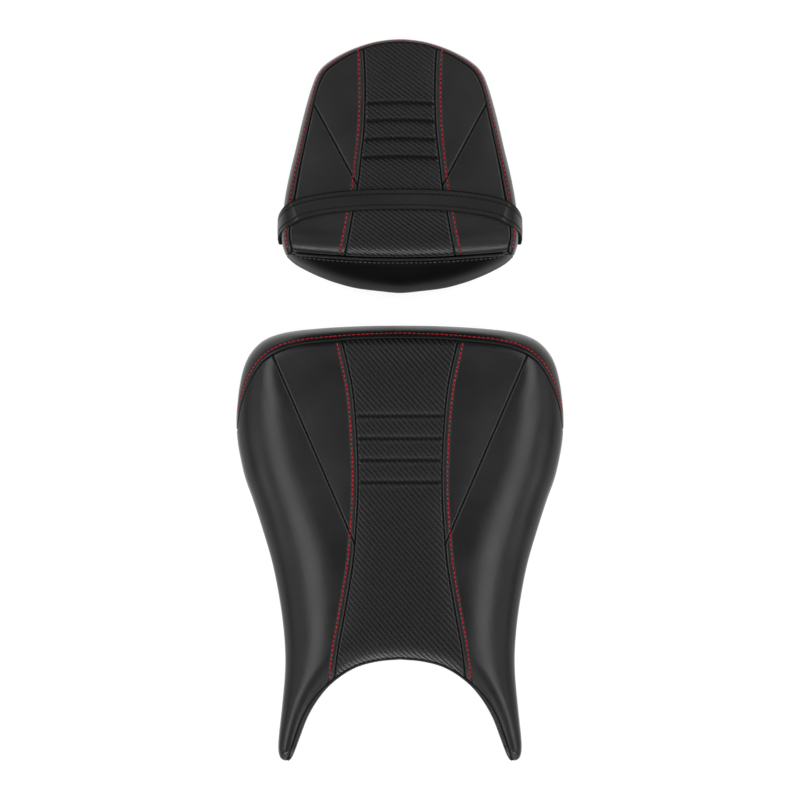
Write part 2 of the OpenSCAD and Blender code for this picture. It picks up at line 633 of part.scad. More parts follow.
// The piping is a round cord that is sewn in between the top panels and the skirt.
piping_r = 1.3;
module pillion_piping() {
    points = [for (k = [-16:16]) let (s = abs(k) / 16 * 0.96, a = on(pillion_front_seam, s))
        [a.x * sign(k), a.y - 1.6, pillion_z(a) - 1.2]];
    ring = [for (k = [0:7]) [cos(45 * k), sin(45 * k)] * piping_r];
    n = len(points);
    color(vinyl) polyhedron([for (p = points) each [for (c = ring) p + [0, c.x, c.y]]],
        concat([[for (k = [0:7]) k]], [[for (k = [7:-1:0]) (n - 1) * 8 + k]],
            [for (i = [0:n - 2], k = [0:7]) each let (a = i * 8 + k, b = i * 8 + (k + 1) % 8)
                [[a, a + 8, b], [b, a + 8, b + 8]]]));
}

// The cushion's front face follows the skirt down to the lip of the pan.
foam_chin = 0.6;
module pillion_foam() {
    edge = beside(pillion_side_edge, foam_in);
    corner = [107 * pillion_sx, on(pillion_front_seam, 1).y + foam_in + 2];
    front = concat([for (k = [0:8]) on(pillion_front_seam, k / 8 * 0.93) + [0, foam_in + 2]], [corner]);
    turn = 28;
    top = foam_top([for (i = [0:turn]) edge[i]], until([for (i = [turn:len(edge) - 1]) edge[i]], corner),
        front, 8, 18, "pillion");
    last = top[len(top) - 1];
    brow = [for (p = last) let (a = on(pillion_front_seam, share_at_x(pillion_front_seam, abs(p.x))))
        [p.x, a.y + foam_in + 0.6, pillion_z(a) - skirt_top_drop - 1.5]];
    lip = [for (p = last) let (y = on(pillion_skirt_path, share_at_x(pillion_skirt_path, abs(p.x))).y)
        [p.x, y + foam_in + 3, foam_z]];
    chin = [for (i = [0:len(last) - 1]) let (a = brow[i], b = lip[i], y = mix(a.y, b.y - 3, foam_chin) + 2)
        [a.x, max(y, mix(a.y, b.y, 0.8)), mix(a.z, pan_z + skirt_lip, skirt_fall(foam_chin)) - 2.5]];
    base = concat([for (row = top) grounded(row)], [grounded(brow)], [lip]);
    color(foam_yellow) between(concat(top, [brow], [chin]), base);
}

module pillion_center_stitching() {
    both_sides() topstitch(pillion_center_seam, stitch_away, 0.01, 0.98, 18, "pillion");
}

module pillion_band_stitching() {
    both_sides() topstitch(pillion_band_seam, 4, 0.08, 0.97, 26, "pillion");
}

// ---- Pillion seat: pan and hardware ----------------------------------------------------------

pillion_bumper_at = [[66, 178], [48, 300]];
hook_at = [44, 138];
striker_y = 326;
anchor_at = [100, 166];

module pillion_base_pan() {
    color(pan_black) {
        difference() {
            translate([0, 0, pan_z]) linear_extrude(pan_t) intersection() {
                pillion_shape(pan_in);
                translate([0, 3]) pillion_shape(pan_in);
            }
            both_sides() translate([anchor_at.x, anchor_at.y, pan_z - 1])
                cylinder(r = bolt_r + hole_clearance, h = pan_t + 2);
            for (p = striker_screws()) translate([p.x, p.y, pan_z - 1])
                cylinder(r = screw_r + hole_clearance, h = pan_t + 2);
        }
        translate([0, 0, pan_z - rib_h]) linear_extrude(rib_h) difference() {
            intersection() {
                pillion_shape(22);
                rib_grid([0, 30, 66], [150, 210, 250, 290], 400);
            }
            both_sides() {
                for (p = pillion_bumper_at) translate(p) circle(pad_r);
                translate(hook_at) square([30, 24], center = true);
            }
            translate([0, striker_y]) square([72, 40], center = true);
        }
        both_sides() for (p = pillion_bumper_at) translate([p.x, p.y, pan_z - 2]) difference() {
            cylinder(r = pad_r, h = 2);
            translate([0, 0, -1]) cylinder(r = bumper_r + hole_clearance, h = 4);
        }
    }
}

module pillion_hem() {
    hem(hem_z) {
        pillion_shape(0.3);
        pillion_shape(hem_w);
    }
}

module pillion_staples() {
    staples([[pillion_side_path, [for (k = [0.5:1:12]) k / 15.5], 1],
        [pillion_skirt_path, [for (k = [0.5:1:5]) k / 6], -1]], 8);
}

module pillion_bumpers() { bumpers(pillion_bumper_at); }

// Two moulded hooks that slide under a bar at the front.
module pillion_front_hooks() {
    color(pan_black) both_sides() translate([hook_at.x, hook_at.y, 0]) {
        translate([-10, -2, 4]) cube([20, 4, pan_z - 4]);
        translate([-10, -16, 4]) cube([20, 18, 3.5]);
    }
}

striker_r = 2.5;
striker_span = 30;
striker_plate_t = 2;
function striker_screws() = [for (x = [-26, 26]) [x, striker_y]];

module pillion_striker_plate() {
    color(steel) translate([0, striker_y, pan_z - striker_plate_t]) difference() {
        translate([-32, -12, 0]) cube([64, 24, striker_plate_t]);
        for (x = [-26, 26]) translate([x, 0, -1])
            cylinder(r = screw_r + hole_clearance, h = striker_plate_t + 2);
    }
}

// The loop that the seat lock catches: a rod with two bends, welded to its plate.
module pillion_striker() {
    top = pan_z - striker_plate_t;
    bend = 5;
    leg = striker_span / 2;
    bar_z = 1 + striker_r;
    color(steel) translate([0, striker_y, 0]) {
        for (x = [-leg, leg]) translate([x, 0, bar_z + bend]) cylinder(r = striker_r, h = top - bar_z - bend);
        translate([-leg + bend, 0, bar_z]) rotate([0, 90, 0]) cylinder(r = striker_r, h = 2 * (leg - bend));
        for (turn = [0, 180]) rotate(turn) translate([leg - bend, 0, bar_z + bend]) rotate([-90, 0, 0])
            rotate_extrude(angle = 90) translate([bend, 0]) circle(striker_r);
    }
}

module pillion_striker_screws() {
    color(steel) for (p = striker_screws()) translate([p.x, p.y, pan_z - striker_plate_t])
        screw(striker_plate_t + pan_t);
}

// ---- Grab strap ------------------------------------------------------------------------------

tab_t = strap_t;
tab_z = hem_z - 0.3 - tab_t;
washer_t = 1.5;
bolt_head_h = 4;
tab_in = 12;
strap_out = 1.6; // how far the middle of the strap stands off the side of the seat
strap_side_y = 168;

module strap_end_tabs() {
    color(vinyl) both_sides() translate([anchor_at.x, anchor_at.y, tab_z]) difference() {
        translate([-tab_in, -strap_w / 2, 0]) cube([tab_in * 2, strap_w, tab_t]);
        translate([0, 0, -1]) cylinder(r = bolt_r + hole_clearance, h = tab_t + 2);
    }
}

module strap_washers() {
    color(steel) both_sides() translate([anchor_at.x, anchor_at.y, tab_z - washer_t]) difference() {
        cylinder(r = 8, h = washer_t);
        translate([0, 0, -1]) cylinder(r = bolt_r + hole_clearance, h = washer_t + 2);
    }
}

module strap_bolts() {
    color(steel) both_sides() translate([anchor_at.x, anchor_at.y, tab_z - washer_t]) {
        translate([0, 0, -bolt_head_h]) cylinder(r = 5.6, h = bolt_head_h, $fn = 6);
        cylinder(r = bolt_r, h = foam_z - 0.2 - tab_z + washer_t);
    }
}

// The strap's middle line in plan, from the centre line to the side of the seat.
strap_plan = path(dense(shift(stretch([[0, 200], [30, 199.6], [60, 197.5], [85, 193.8], [100, 189.8],
    [110, 184.5], [116, 177.5], [118.6, 172]], pillion_sx, 1), pillion_front_y - 107)));
strap_lift_off = 1.4;
strap_bend_r = 2.2;

// Half of the strap as [point, up] pairs: over the cushion, down the side and round under the pan.
function strap_half() =
    let (over = [for (k = [0:15]) let (q = on(strap_plan, k / 15 * 0.96), up = up_at(q, "pillion"))
            [pillion_on(q) + up * (strap_lift_off + pow(k / 15, 3) * 1.2 + strap_t / 2), up]],
        side_x = on(strap_plan, 1).x + strap_out + 0.15,
        bend_z = tab_z + tab_t / 2 + strap_bend_r,
        down = [for (k = [0:4]) [[side_x, mix(strap_side_y + 2, anchor_at.y, k / 4), mix(44, bend_z, k / 4)],
            [1, 0, 0]]],
        under = [for (a = [30, 60, 90]) [[side_x - strap_bend_r * (1 - cos(a)), anchor_at.y,
            bend_z - strap_bend_r * sin(a)], [cos(a), 0, -sin(a)]]],
        end = [[[anchor_at.x + tab_in + 0.3, anchor_at.y, tab_z + tab_t / 2], [0, 0, -1]]])
    concat(over, down, under, end);

module grab_strap() {
    half = strap_half();
    whole = concat([for (i = [len(half) - 1:-1:1]) let (h = half[i]) [[-h[0].x, h[0].y, h[0].z],
        [-h[1].x, h[1].y, h[1].z]]], half);
    color(vinyl) ribbon([for (h = whole) h[0]], [for (h = whole) h[1]], strap_w, strap_t, -strap_t / 2);
}

// ---- Nodes -----------------------------------------------------------------------------------

rider_base_pan();
rider_foam();
rider_center_panel();
rider_wedge_left();
rider_wedge_right();
rider_side_left();
rider_side_right();
rider_rear_band();
rider_front_facing();
rider_hem();
rider_center_stitching();
rider_rear_stitching();
rider_staples();
rider_bumpers();
rider_bracket_left();
rider_bracket_right();
rider_weld_nuts();
rider_bracket_screws();
rider_rear_tongue();
pillion_base_pan();
pillion_foam();
pillion_center_panel();
pillion_wedge_left();
pillion_wedge_right();
pillion_outer_left();
pillion_outer_right();
pillion_side_band();
pillion_front_skirt();
pillion_piping();
pillion_hem();
pillion_center_stitching();
pillion_band_stitching();
pillion_staples();
pillion_bumpers();
pillion_front_hooks();
pillion_striker_plate();
pillion_striker();
pillion_striker_screws();
strap_end_tabs();
strap_washers();
strap_bolts();
grab_strap();
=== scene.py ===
"""A two-piece sport motorcycle seat: rider seat with tank horns, pillion seat with a grab strap."""

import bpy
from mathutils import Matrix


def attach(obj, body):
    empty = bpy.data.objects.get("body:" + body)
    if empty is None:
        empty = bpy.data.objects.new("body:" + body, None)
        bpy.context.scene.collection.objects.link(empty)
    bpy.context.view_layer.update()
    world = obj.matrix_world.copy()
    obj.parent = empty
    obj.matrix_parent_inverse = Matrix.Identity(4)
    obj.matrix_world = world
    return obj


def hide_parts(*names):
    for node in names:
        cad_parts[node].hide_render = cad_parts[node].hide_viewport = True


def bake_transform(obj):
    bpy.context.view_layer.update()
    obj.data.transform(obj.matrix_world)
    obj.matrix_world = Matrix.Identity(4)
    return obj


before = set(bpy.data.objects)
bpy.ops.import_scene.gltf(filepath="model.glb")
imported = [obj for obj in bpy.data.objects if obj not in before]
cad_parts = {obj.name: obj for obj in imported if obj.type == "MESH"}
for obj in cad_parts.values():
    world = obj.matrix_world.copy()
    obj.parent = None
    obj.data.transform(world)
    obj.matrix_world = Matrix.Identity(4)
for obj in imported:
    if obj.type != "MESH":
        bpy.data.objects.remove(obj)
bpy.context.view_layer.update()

import math

import bpy
import numpy as np
from mathutils import Vector
from mathutils.bvhtree import BVHTree

scene = bpy.context.scene
MM = 0.001
LEFT, RIGHT = 1, -1  # +X is the rider's left
HANDS = ((LEFT, "left"), (RIGHT, "right"))

# ---- Lines in plan, in millimetres ----


def spline(points, per=6):
    """The smooth curve through points, with per steps between two of them."""
    p = np.array(points, float)
    ext = np.vstack([p[:1], p, p[-1:]])
    t = np.linspace(0, 1, per, endpoint=False)[:, None]
    parts = []
    for i in range(len(p) - 1):
        a, b, c, d = ext[i:i + 4]
        parts.append(0.5 * (2 * b + (c - a) * t + (2 * a - 5 * b + 4 * c - d) * t ** 2
                            + (3 * b - a - 3 * c + d) * t ** 3))
    return np.vstack([*parts, p[-1:]])


def read_at(where, run, values):
    """The columns of values, which are given at run, read at other places along it."""
    return np.stack([np.interp(where, run, c) for c in values.T], -1)


def unit(v):
    return v / np.maximum(np.linalg.norm(v, axis=-1, keepdims=True), 1e-9)


class Line:
    """A line of points, read by share of its length."""

    def __init__(self, points):
        self.points = np.array(points, float)
        steps = np.linalg.norm(np.diff(self.points, axis=0), axis=1)
        self.sums = np.concatenate([[0], np.cumsum(steps)])
        self.length = self.sums[-1]

    def at(self, share):
        return read_at(np.asarray(share) * self.length, self.sums, self.points)

    def part(self, a, b, n=60):
        return Line(self.at(np.linspace(a, b, n + 1)))

    def where(self, axis, value):
        """The share at which a coordinate has a value; the coordinate only rises or only falls."""
        c = self.points[:, axis]
        order = slice(None) if c[-1] > c[0] else slice(None, None, -1)
        return float(np.interp(value, c[order], self.sums[order])) / self.length

    def mirrored(self):
        return Line(self.points * ([-1] + [1] * (self.points.shape[1] - 1)))

    def reversed(self):
        return Line(self.points[::-1])

    def beside(self, away):
        """The line moved in plan to the right of the way it runs."""
        t = unit(np.gradient(self.points[:, :2], axis=0))
        p = self.points.copy()
        p[:, 0] += t[:, 1] * away
        p[:, 1] -= t[:, 0] * away
        return Line(p)


EASED = 24.0  # how far from the middle a line is turned, until it crosses the middle squarely


def level_start(line):
    """The line with its first stretch eased, so that it crosses the middle squarely."""
    p = line.points.copy()
    slope = (p[1, 1] - p[0, 1]) / (p[1, 0] - p[0, 0])
    p[:, 1] -= slope * p[:, 0] * (1 - np.clip(p[:, 0] / EASED, 0, 1)) ** 2
    return Line(p)


def longer(line, extra):
    """The line carried straight on past its end."""
    way = line.points[-1] - line.points[-2]
    return Line(np.vstack([line.points, line.points[-1] + way * extra / np.linalg.norm(way)]))


def ruled(a, b):
    """A straight line of many points."""
    return Line(Line([a, b]).at(np.linspace(0, 1, 30)))


def joined(*lines):
    return Line(np.vstack([lines[0].points] + [line.points[1:] for line in lines[1:]]))


def near(p, line):
    """How far each point of an array is from a line, and how far along the line it is."""
    shape = p.shape[:-1]
    q = line.points
    p = p.reshape(-1, p.shape[-1])[:, :q.shape[1]]
    a, ab = q[:-1], np.diff(q, axis=0)
    length2 = np.maximum((ab ** 2).sum(1), 1e-12)
    best, along = np.full(len(p), 1e12), np.zeros(len(p))
    for i in range(len(a)):
        t = np.clip((p - a[i]) @ ab[i] / length2[i], 0, 1)
        d = ((p - a[i] - t[:, None] * ab[i]) ** 2).sum(1)
        closer = d < best
        best = np.where(closer, d, best)
        along = np.where(closer, line.sums[i] + t * math.sqrt(length2[i]), along)
    return np.sqrt(best).reshape(shape), along.reshape(shape)


def distance(p, line):
    return near(p, line)[0]


def roll(d, r, h):
    """How far a surface has dropped at distance d from its edge, over a roll r wide and h high."""
    q = 1 - np.clip(d / r, 0, 1)
    return h * (1 - np.sqrt(np.maximum(0, 1 - q * q)))


def bevel(d, r, h):
    """The same for an edge that is only eased, and ends on a slope."""
    return h * (1 - np.clip(d / r, 0, 1)) ** 2


def table(pairs, x):
    """A smooth curve through (x, value) pairs, read at x."""
    return np.interp(x, *spline(pairs, 8).T)


def straight(pairs, x):
    """The same with straight lines between the pairs."""
    return np.interp(x, *zip(*pairs))


# ---- Rider seat: lines of its left half, y towards the rear ----

REAR_Y = 74.0


def rider_plan(points):
    return Line(spline([(x, y + REAR_Y) for x, y in points]))


rider_rear_edge = rider_plan([(0, 0), (40, -0.5), (80, -2.5), (112, -6), (133, -12.5), (146, -23),
                              (155, -38), (160.5, -60), (163.5, -88), (163.5, -104)])
rider_side_edge = rider_plan([(163.5, -104), (161.5, -122), (155.5, -150), (147, -174), (137, -205),
                              (127, -240), (119.5, -280), (115.5, -315), (115, -345), (118, -380),
                              (121.3, -410), (121.8, -424), (120, -431.5), (116.6, -434.5), (112.5, -435)])
tank_edge = rider_plan([(0, -333), (22, -335), (44, -341), (64, -353.5), (80, -371), (92, -391),
                        (100.5, -413), (104.8, -424.5), (108, -431.5), (112.5, -435)])
rider_rear_seam = rider_plan([(0, -11.5), (40, -12.5), (64, -14.5), (93, -17.5), (113, -22), (133, -32),
                              (145, -46), (154, -64), (160, -82), (163.5, -104)])
rider_center_seam = rider_plan([(58, -14), (51.5, -42), (47, -66), (44, -98), (42, -136), (42, -166),
                                (43, -188), (46.5, -232), (51, -262), (57, -296), (62, -324), (65, -354.3)])
rider_outline = joined(rider_rear_edge, rider_side_edge)

# The seam of the facing runs just inside the tank edge, further in along the horns.
facing_in = table([(0, 0.5), (50, 0.6), (66, 1.4), (78, 3.2), (92, 4.4), (102, 4.2), (107, 3.4),
                   (112.5, 0.6)], tank_edge.points[:, 0])
tank_seam = tank_edge.beside(-facing_in)
tank_seam.points[0, 0] = 0
meeting = tank_seam.at(tank_seam.where(0, rider_center_seam.points[-1, 0]))
rider_center_seam = Line(np.vstack([rider_center_seam.points[:-1], meeting]))

# Heights and the widths of the rolled edges, along y; those of the tank cut-out along x.
RIDER_CROWN = [(-365, 46), (-310, 50), (-260, 53), (-200, 55), (-140, 58), (-80, 65), (-30, 75), (10, 83),
               (40, 86), (62, 85), (80, 82)]
RIDER_ROLL_W = [(-361, 30), (-300, 42), (-240, 56), (-160, 62), (-100, 56), (-40, 53), (0, 46), (40, 27),
                (74, 18)]
RIDER_ROLL_H = [(-361, 13), (-300, 20), (-240, 28), (-160, 32), (-100, 33), (-40, 32), (0, 29), (40, 31),
                (74, 38)]
TANK_BEVEL_W = [(0, 22), (60, 24), (90, 22), (115, 20)]
TANK_BEVEL_H = [(0, 8.5), (60, 9.5), (90, 10), (115, 9)]
RIDER_CAMBER = 0.0002  # how much a seat falls to its sides, by the square of x


def rider_z(p):
    x, y = np.abs(p[..., 0]), p[..., 1]
    q = np.stack([x, y], -1)
    z = table(RIDER_CROWN, y) - RIDER_CAMBER * x * x
    z = z - roll(distance(q, rider_outline), straight(RIDER_ROLL_W, y), straight(RIDER_ROLL_H, y))
    return z - bevel(distance(q, tank_edge), straight(TANK_BEVEL_W, x), straight(TANK_BEVEL_H, x))


# ---- Pillion seat ----

FRONT_Y = 107.0


def pillion_plan(points):
    return Line(spline([(x, y + FRONT_Y) for x, y in points]))


pillion_edge = pillion_plan([(0, 254), (24, 251.5), (45, 245), (60, 238), (73, 230), (81, 222), (86.5, 211),
                             (92.5, 190), (98.5, 166), (104, 142), (110, 118), (115.8, 90), (118.6, 66),
                             (118, 50), (114, 37)])
skirt_edge = pillion_plan([(0, 0), (39, 4), (62, 9.5), (80, 16), (95, 23), (106, 29.5), (114, 37)])
band_seam = pillion_plan([(0, 250.5), (18, 249), (34, 245), (50, 238), (66, 228), (74, 221), (80, 211),
                          (85, 196), (90, 172), (96.5, 142), (102.5, 110), (108, 78), (110.5, 58),
                          (107.5, 40.5)])
front_seam = pillion_plan([(0, 34.5), (30, 35), (60, 36.5), (90, 38.7), (107.5, 40.5)])
pillion_edge, skirt_edge, band_seam = (level_start(line) for line in (pillion_edge, skirt_edge, band_seam))
pillion_center_seam = pillion_plan([(36.5, 244.5), (35.2, 222), (34.8, 194), (36, 162), (38.5, 139),
                                    (42, 109), (49, 69), (53.5, 45), (55, 36.2)])

PILLION_CROWN = [(100, 80), (135, 81), (165, 82), (200, 81), (250, 77), (300, 73), (340, 70), (370, 69)]
PILLION_ROLL_W = [(140, 8), (180, 8.5), (300, 7.5), (335, 6), (361, 4.6)]
PILLION_ROLL_H = 18
PILLION_FRONT_ROLL = (26, 15)
PILLION_CAMBER = 0.0003


def pillion_z(p):
    x, y = np.abs(p[..., 0]), p[..., 1]
    q = np.stack([x, y], -1)
    z = table(PILLION_CROWN, y) - PILLION_CAMBER * x * x
    z = z - roll(distance(q, pillion_edge), straight(PILLION_ROLL_W, y), PILLION_ROLL_H)
    return z - roll(distance(q, front_seam), *PILLION_FRONT_ROLL)


HEIGHTS = {"rider": rider_z, "pillion": pillion_z}


def on_surface(plan, height):
    """Plan points with the height of a seat's surface."""
    return np.concatenate([plan, height(plan)[..., None]], -1)


def lifted(line, height):
    """A plan line laid on a seat's surface."""
    return Line(on_surface(line.points[:, :2], height))


# ---- Grids ----


def steps(length, spots, fine=0.5, coarse=2.4, zone=2.0, growth=0.3):
    """Shares from 0 to 1 along a length in millimetres, close together near the spots."""
    s = [0.0]
    while s[-1] < length:
        gap = min(abs(s[-1] - p) for p in spots)
        s.append(s[-1] + min(coarse, fine + growth * max(0.0, gap - zone)))
    return np.array(s) / s[-1]


def patch(a, b, c, d, us, vs):
    """Plan points of the patch between lines a (v = 0), b (v = 1), c (u = 0) and d (u = 1)."""
    u, v = us[None, :, None], vs[:, None, None]
    top, bottom, left, right = a.at(us)[None], b.at(us)[None], c.at(vs)[:, None], d.at(vs)[:, None]
    corners = (1 - u) * (1 - v) * a.at(0) + u * (1 - v) * a.at(1) + (1 - u) * v * b.at(0) + u * v * b.at(1)
    return (1 - v) * top + v * bottom + (1 - u) * left + u * right - corners


def outward(g, way):
    """The grid's normals, and whether they had to be turned to face the given way."""
    n = unit(np.cross(np.gradient(g, axis=0), np.gradient(g, axis=1)))
    flip = (n.reshape(-1, 3) @ np.array(way, float)).mean() < 0
    return (-n if flip else n), flip


def smooth_step(x):
    x = np.clip(x, 0, 1)
    return x * x * (3 - 2 * x)


# ---- Objects ----


def in_scene(name, data):
    obj = bpy.data.objects.new(name, data)
    scene.collection.objects.link(obj)
    return obj


def smooth(mesh):
    mesh.polygons.foreach_set("use_smooth", [True] * len(mesh.polygons))


def new_object(name, vertices, faces, material, body, replaced=(), slot=None, uv=None, shade=None):
    """A piece from points in millimetres. Its shade, one value a point, is painted shade that darkens the cover
    in and beside seams, grooves and channels, and on the strap's edges.
    """
    mesh = bpy.data.meshes.new(name)
    mesh.from_pydata((np.asarray(vertices) * MM).tolist(), [], faces)
    mesh.validate()
    smooth(mesh)
    if shade is not None:
        values = mesh.attributes.new("shade", "FLOAT", "POINT").data
        values.foreach_set("value", np.asarray(shade, np.float32).ravel())
    if uv is not None:
        layer = mesh.uv_layers.new(name="along")
        index = np.empty(len(mesh.loops), int)
        mesh.loops.foreach_get("vertex_index", index)
        layer.data.foreach_set("uv", np.asarray(uv, np.float32)[index].ravel())
    mesh.materials.append(material)
    mesh.update()
    obj = in_scene(name, mesh)
    if body:
        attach(obj, body)
    if replaced:
        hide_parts(*replaced)
    return obj


def shifted(faces, start):
    return [[start + i for i in face] for face in faces]


def grid_faces(rows, cols, flip=False, closed=False):
    """The faces between a grid's points; closed joins its last column to its first."""
    i, j = np.meshgrid(np.arange(rows - 1), np.arange(cols if closed else cols - 1), indexing="ij")
    a = (i * cols + j).ravel()
    b = (i * cols + (j + 1) % cols).ravel()
    f = np.stack([a, a + cols, b + cols, b], 1)
    return (f[:, ::-1] if flip else f).tolist()


def arc_uv(g):
    """Millimetres along x, and along the surface down each column."""
    lengths = np.linalg.norm(np.diff(g, axis=0), axis=-1)
    down = np.vstack([np.zeros((1, g.shape[1])), np.cumsum(lengths, 0)])
    return np.stack([g[..., 0], g[:1, :, 1] - down], -1).reshape(-1, 2) * MM


# ---- Materials ----


class Nodes:
    """A short way to write a material's node tree."""

    def __init__(self, name):
        self.material = bpy.data.materials.new(name)
        self.material.use_nodes = True
        self.tree = self.material.node_tree
        self.shader = self.tree.nodes["Principled BSDF"]

    def add(self, kind, inputs=None, **settings):
        node = self.tree.nodes.new(kind)
        for key, value in settings.items():
            setattr(node, key, value)
        for key, value in (inputs or {}).items():
            if isinstance(value, bpy.types.NodeSocket):
                self.tree.links.new(value, node.inputs[key])
            else:
                node.inputs[key].default_value = value
        return node

    def link(self, socket, key):
        self.tree.links.new(socket, self.shader.inputs[key])

    def set(self, **values):
        for key, value in values.items():
            self.shader.inputs[key.replace("_", " ")].default_value = value

    def math(self, operation, a, b=0.0, c=0.0):
        return self.add("ShaderNodeMath", {0: a, 1: b, 2: c}, operation=operation).outputs[0]

    def ramp(self, value, stops):
        node = self.add("ShaderNodeValToRGB", {0: value})
        elements = node.color_ramp.elements
        while len(elements) < len(stops):
            elements.new(0.5)
        for element, (position, color) in zip(elements, stops):
            element.position = position
            element.color = (*color, 1) if len(color) == 3 else color
        return node.outputs[0]

    def bump(self, height, strength, distance, below=None):
        inputs = {"Height": height, "Strength": strength, "Distance": distance}
        if below is not None:
            inputs["Normal"] = below
        return self.add("ShaderNodeBump", inputs).outputs[0]

    def shaded(self, color, roughness):
        """Links colour and roughness, duller and darker where the surface lies in a seam, groove or channel;
        the darkening is painted shade.
        """
        shade = self.add("ShaderNodeAttribute", attribute_name="shade").outputs["Fac"]
        light = self.math("MULTIPLY_ADD", shade, -0.96, 1.0)
        self.link(self.add("ShaderNodeVectorMath", {0: color, "Scale": light}, operation="SCALE").outputs[0],
                  "Base Color")
        self.link(self.math("MULTIPLY_ADD", shade, 0.6, roughness), "Roughness")

    def place(self, scale=(1, 1, 1)):
        at = self.add("ShaderNodeTexCoord").outputs["Object"]
        return self.add("ShaderNodeVectorMath", {0: at, 1: scale}, operation="MULTIPLY").outputs[0]

    def noise(self, scale, detail):
        """Noise of one scale, or stretched, with a scale for each axis."""
        at, scale = (self.place(scale), 1.0) if isinstance(scale, tuple) else (self.place(), scale)
        return self.add("ShaderNodeTexNoise", {"Vector": at, "Scale": scale, "Detail": detail}).outputs[0]

    def cells(self, scale, output="Distance", **settings):
        inputs = {"Vector": self.place(), "Scale": scale}
        return self.add("ShaderNodeTexVoronoi", inputs, **settings).outputs[output]

    def spread(self, value, low, high, start=0.0, end=1.0):
        """A value from start to end, made one from low to high."""
        return self.add("ShaderNodeMapRange", {"Value": value, "From Min": start, "From Max": end,
                                               "To Min": low, "To Max": high}).outputs[0]


def tint(color, share):
    return [c * share for c in color]


GRAIN = 0.1


def vinyl_material(name, color, roughness, specular, streaks=0.25):
    """Grained vinyl: fine pebbles, faint pulls across the seat, and a sheen that varies a little."""
    m = Nodes(name)
    patches = m.noise(22.0, 3.0)
    pulls = m.bump(m.noise((60, 420, 420), 3.0), streaks, 0.0004)
    pebbles = m.bump(m.cells(950.0, feature="SMOOTH_F1"), GRAIN, 0.0003, pulls)
    m.link(m.bump(m.noise(2600.0, 2.0), GRAIN * 0.6, 0.00012, pebbles), "Normal")
    m.shaded(m.ramp(patches, [(0.3, tint(color, 0.86)), (0.7, tint(color, 1.14))]),
             m.spread(patches, roughness - 0.03, roughness + 0.04, 0.3, 0.7))
    m.set(Specular_IOR_Level=specular, IOR=1.5)
    return m.material


WEAVES = {"rider": (4.2, 49.5), "pillion": (3.7, 37.0)}  # the ridges' pitch, and their slant in degrees
WEAVE_H, WEAVE_POWER = 0.15, 0.7  # how high the ridges are, and how broad their tops
BEAD_PITCH = 2.2 * MM  # of the fine threads that cross each ridge
CARBON_TONE, CARBON_ROUGHNESS, CARBON_SPECULAR = (0.021, 0.021, 0.0215), 0.2, 0.2
DULL_VALLEYS = 0.2  # how much rougher the weave is between its ridges


def carbon_material(name, weave):
    """Vinyl that is embossed with a twill: rope-like ridges on a slant, each crossed by fine threads."""
    m = Nodes(name)
    uv = m.add("ShaderNodeUVMap", uv_map="along").outputs[0]
    x, y = m.add("ShaderNodeSeparateXYZ", {0: uv}).outputs[:2]
    turn = math.radians(weave[1])
    across = m.math("ADD", m.math("MULTIPLY", x, math.sin(turn)), m.math("MULTIPLY", y, math.cos(turn)))
    along = m.math("SUBTRACT", m.math("MULTIPLY", x, math.cos(turn)), m.math("MULTIPLY", y, math.sin(turn)))
    waves = [m.math("ABSOLUTE", m.math("SINE", m.math("MULTIPLY", value, math.pi / pitch)))
             for value, pitch in ((across, weave[0] * MM), (along, BEAD_PITCH))]
    height = m.math("MULTIPLY", m.math("POWER", waves[0], WEAVE_POWER),
                    m.math("MULTIPLY_ADD", waves[1], 0.35, 0.65))
    m.link(m.bump(m.noise(2400.0, 2.0), 0.1, 0.00012, m.bump(height, 0.35, 0.0003)), "Normal")
    # The valleys between the ridges are coloured almost black: painted shade
    m.shaded(m.ramp(height, [(0.55, tint(CARBON_TONE, 0.04)), (0.98, CARBON_TONE)]),
             m.math("MULTIPLY_ADD", height, -DULL_VALLEYS, CARBON_ROUGHNESS + DULL_VALLEYS))
    m.set(Specular_IOR_Level=CARBON_SPECULAR, IOR=1.5)
    return m.material


def thread_material(name, color, sheen=0.0):
    """Bonded thread: a tight twist, with a tone that varies a little."""
    m = Nodes(name)
    strands = m.add("ShaderNodeTexWave", {"Vector": m.place(), "Scale": 900.0, "Distortion": 1.0},
                    bands_direction="DIAGONAL")
    m.link(m.bump(strands.outputs[1], 0.5, 0.0001), "Normal")
    m.link(m.ramp(m.noise(900.0, 3.0), [(0.3, tint(color, 0.6)), (0.7, color)]), "Base Color")
    m.set(Roughness=0.55, Sheen_Weight=sheen, Specular_IOR_Level=0.15)
    return m.material


def moulded_material(name, color, roughness, scale, depth):
    """Moulded plastic or rubber: a spark-eroded texture with flow marks."""
    m = Nodes(name)
    flow = m.noise((9, 30, 30), 2.0)
    m.link(m.bump(m.noise(scale, 3.0), 0.35, depth), "Normal")
    m.link(m.ramp(flow, [(0.3, tint(color, 0.8)), (0.7, tint(color, 1.25))]), "Base Color")
    m.link(m.spread(flow, roughness - 0.06, roughness + 0.08), "Roughness")
    return m.material


def metal_material(name, color, roughness, metallic=1.0):
    """Zinc-plated or powder-coated steel, with spangle and handling marks."""
    m = Nodes(name)
    marks = m.noise((40, 300, 300), 5.0)
    m.link(m.ramp(m.cells(260.0, "Color"), [(0.0, tint(color, 0.82)), (1.0, color)]), "Base Color")
    m.link(m.spread(marks, roughness - 0.08, roughness + 0.14), "Roughness")
    m.link(m.bump(marks, 0.1, 0.0001), "Normal")
    m.set(Metallic=metallic)
    return m.material


def foam_material(name, color):
    """Open-celled foam, with painted shade inside its cells."""
    m = Nodes(name)
    cells = m.cells(700.0)
    m.link(m.bump(cells, 0.7, 0.0006), "Normal")
    m.link(m.ramp(cells, [(0.0, tint(color, 0.55)), (0.5, color)]), "Base Color")
    m.set(Roughness=0.95)
    return m.material


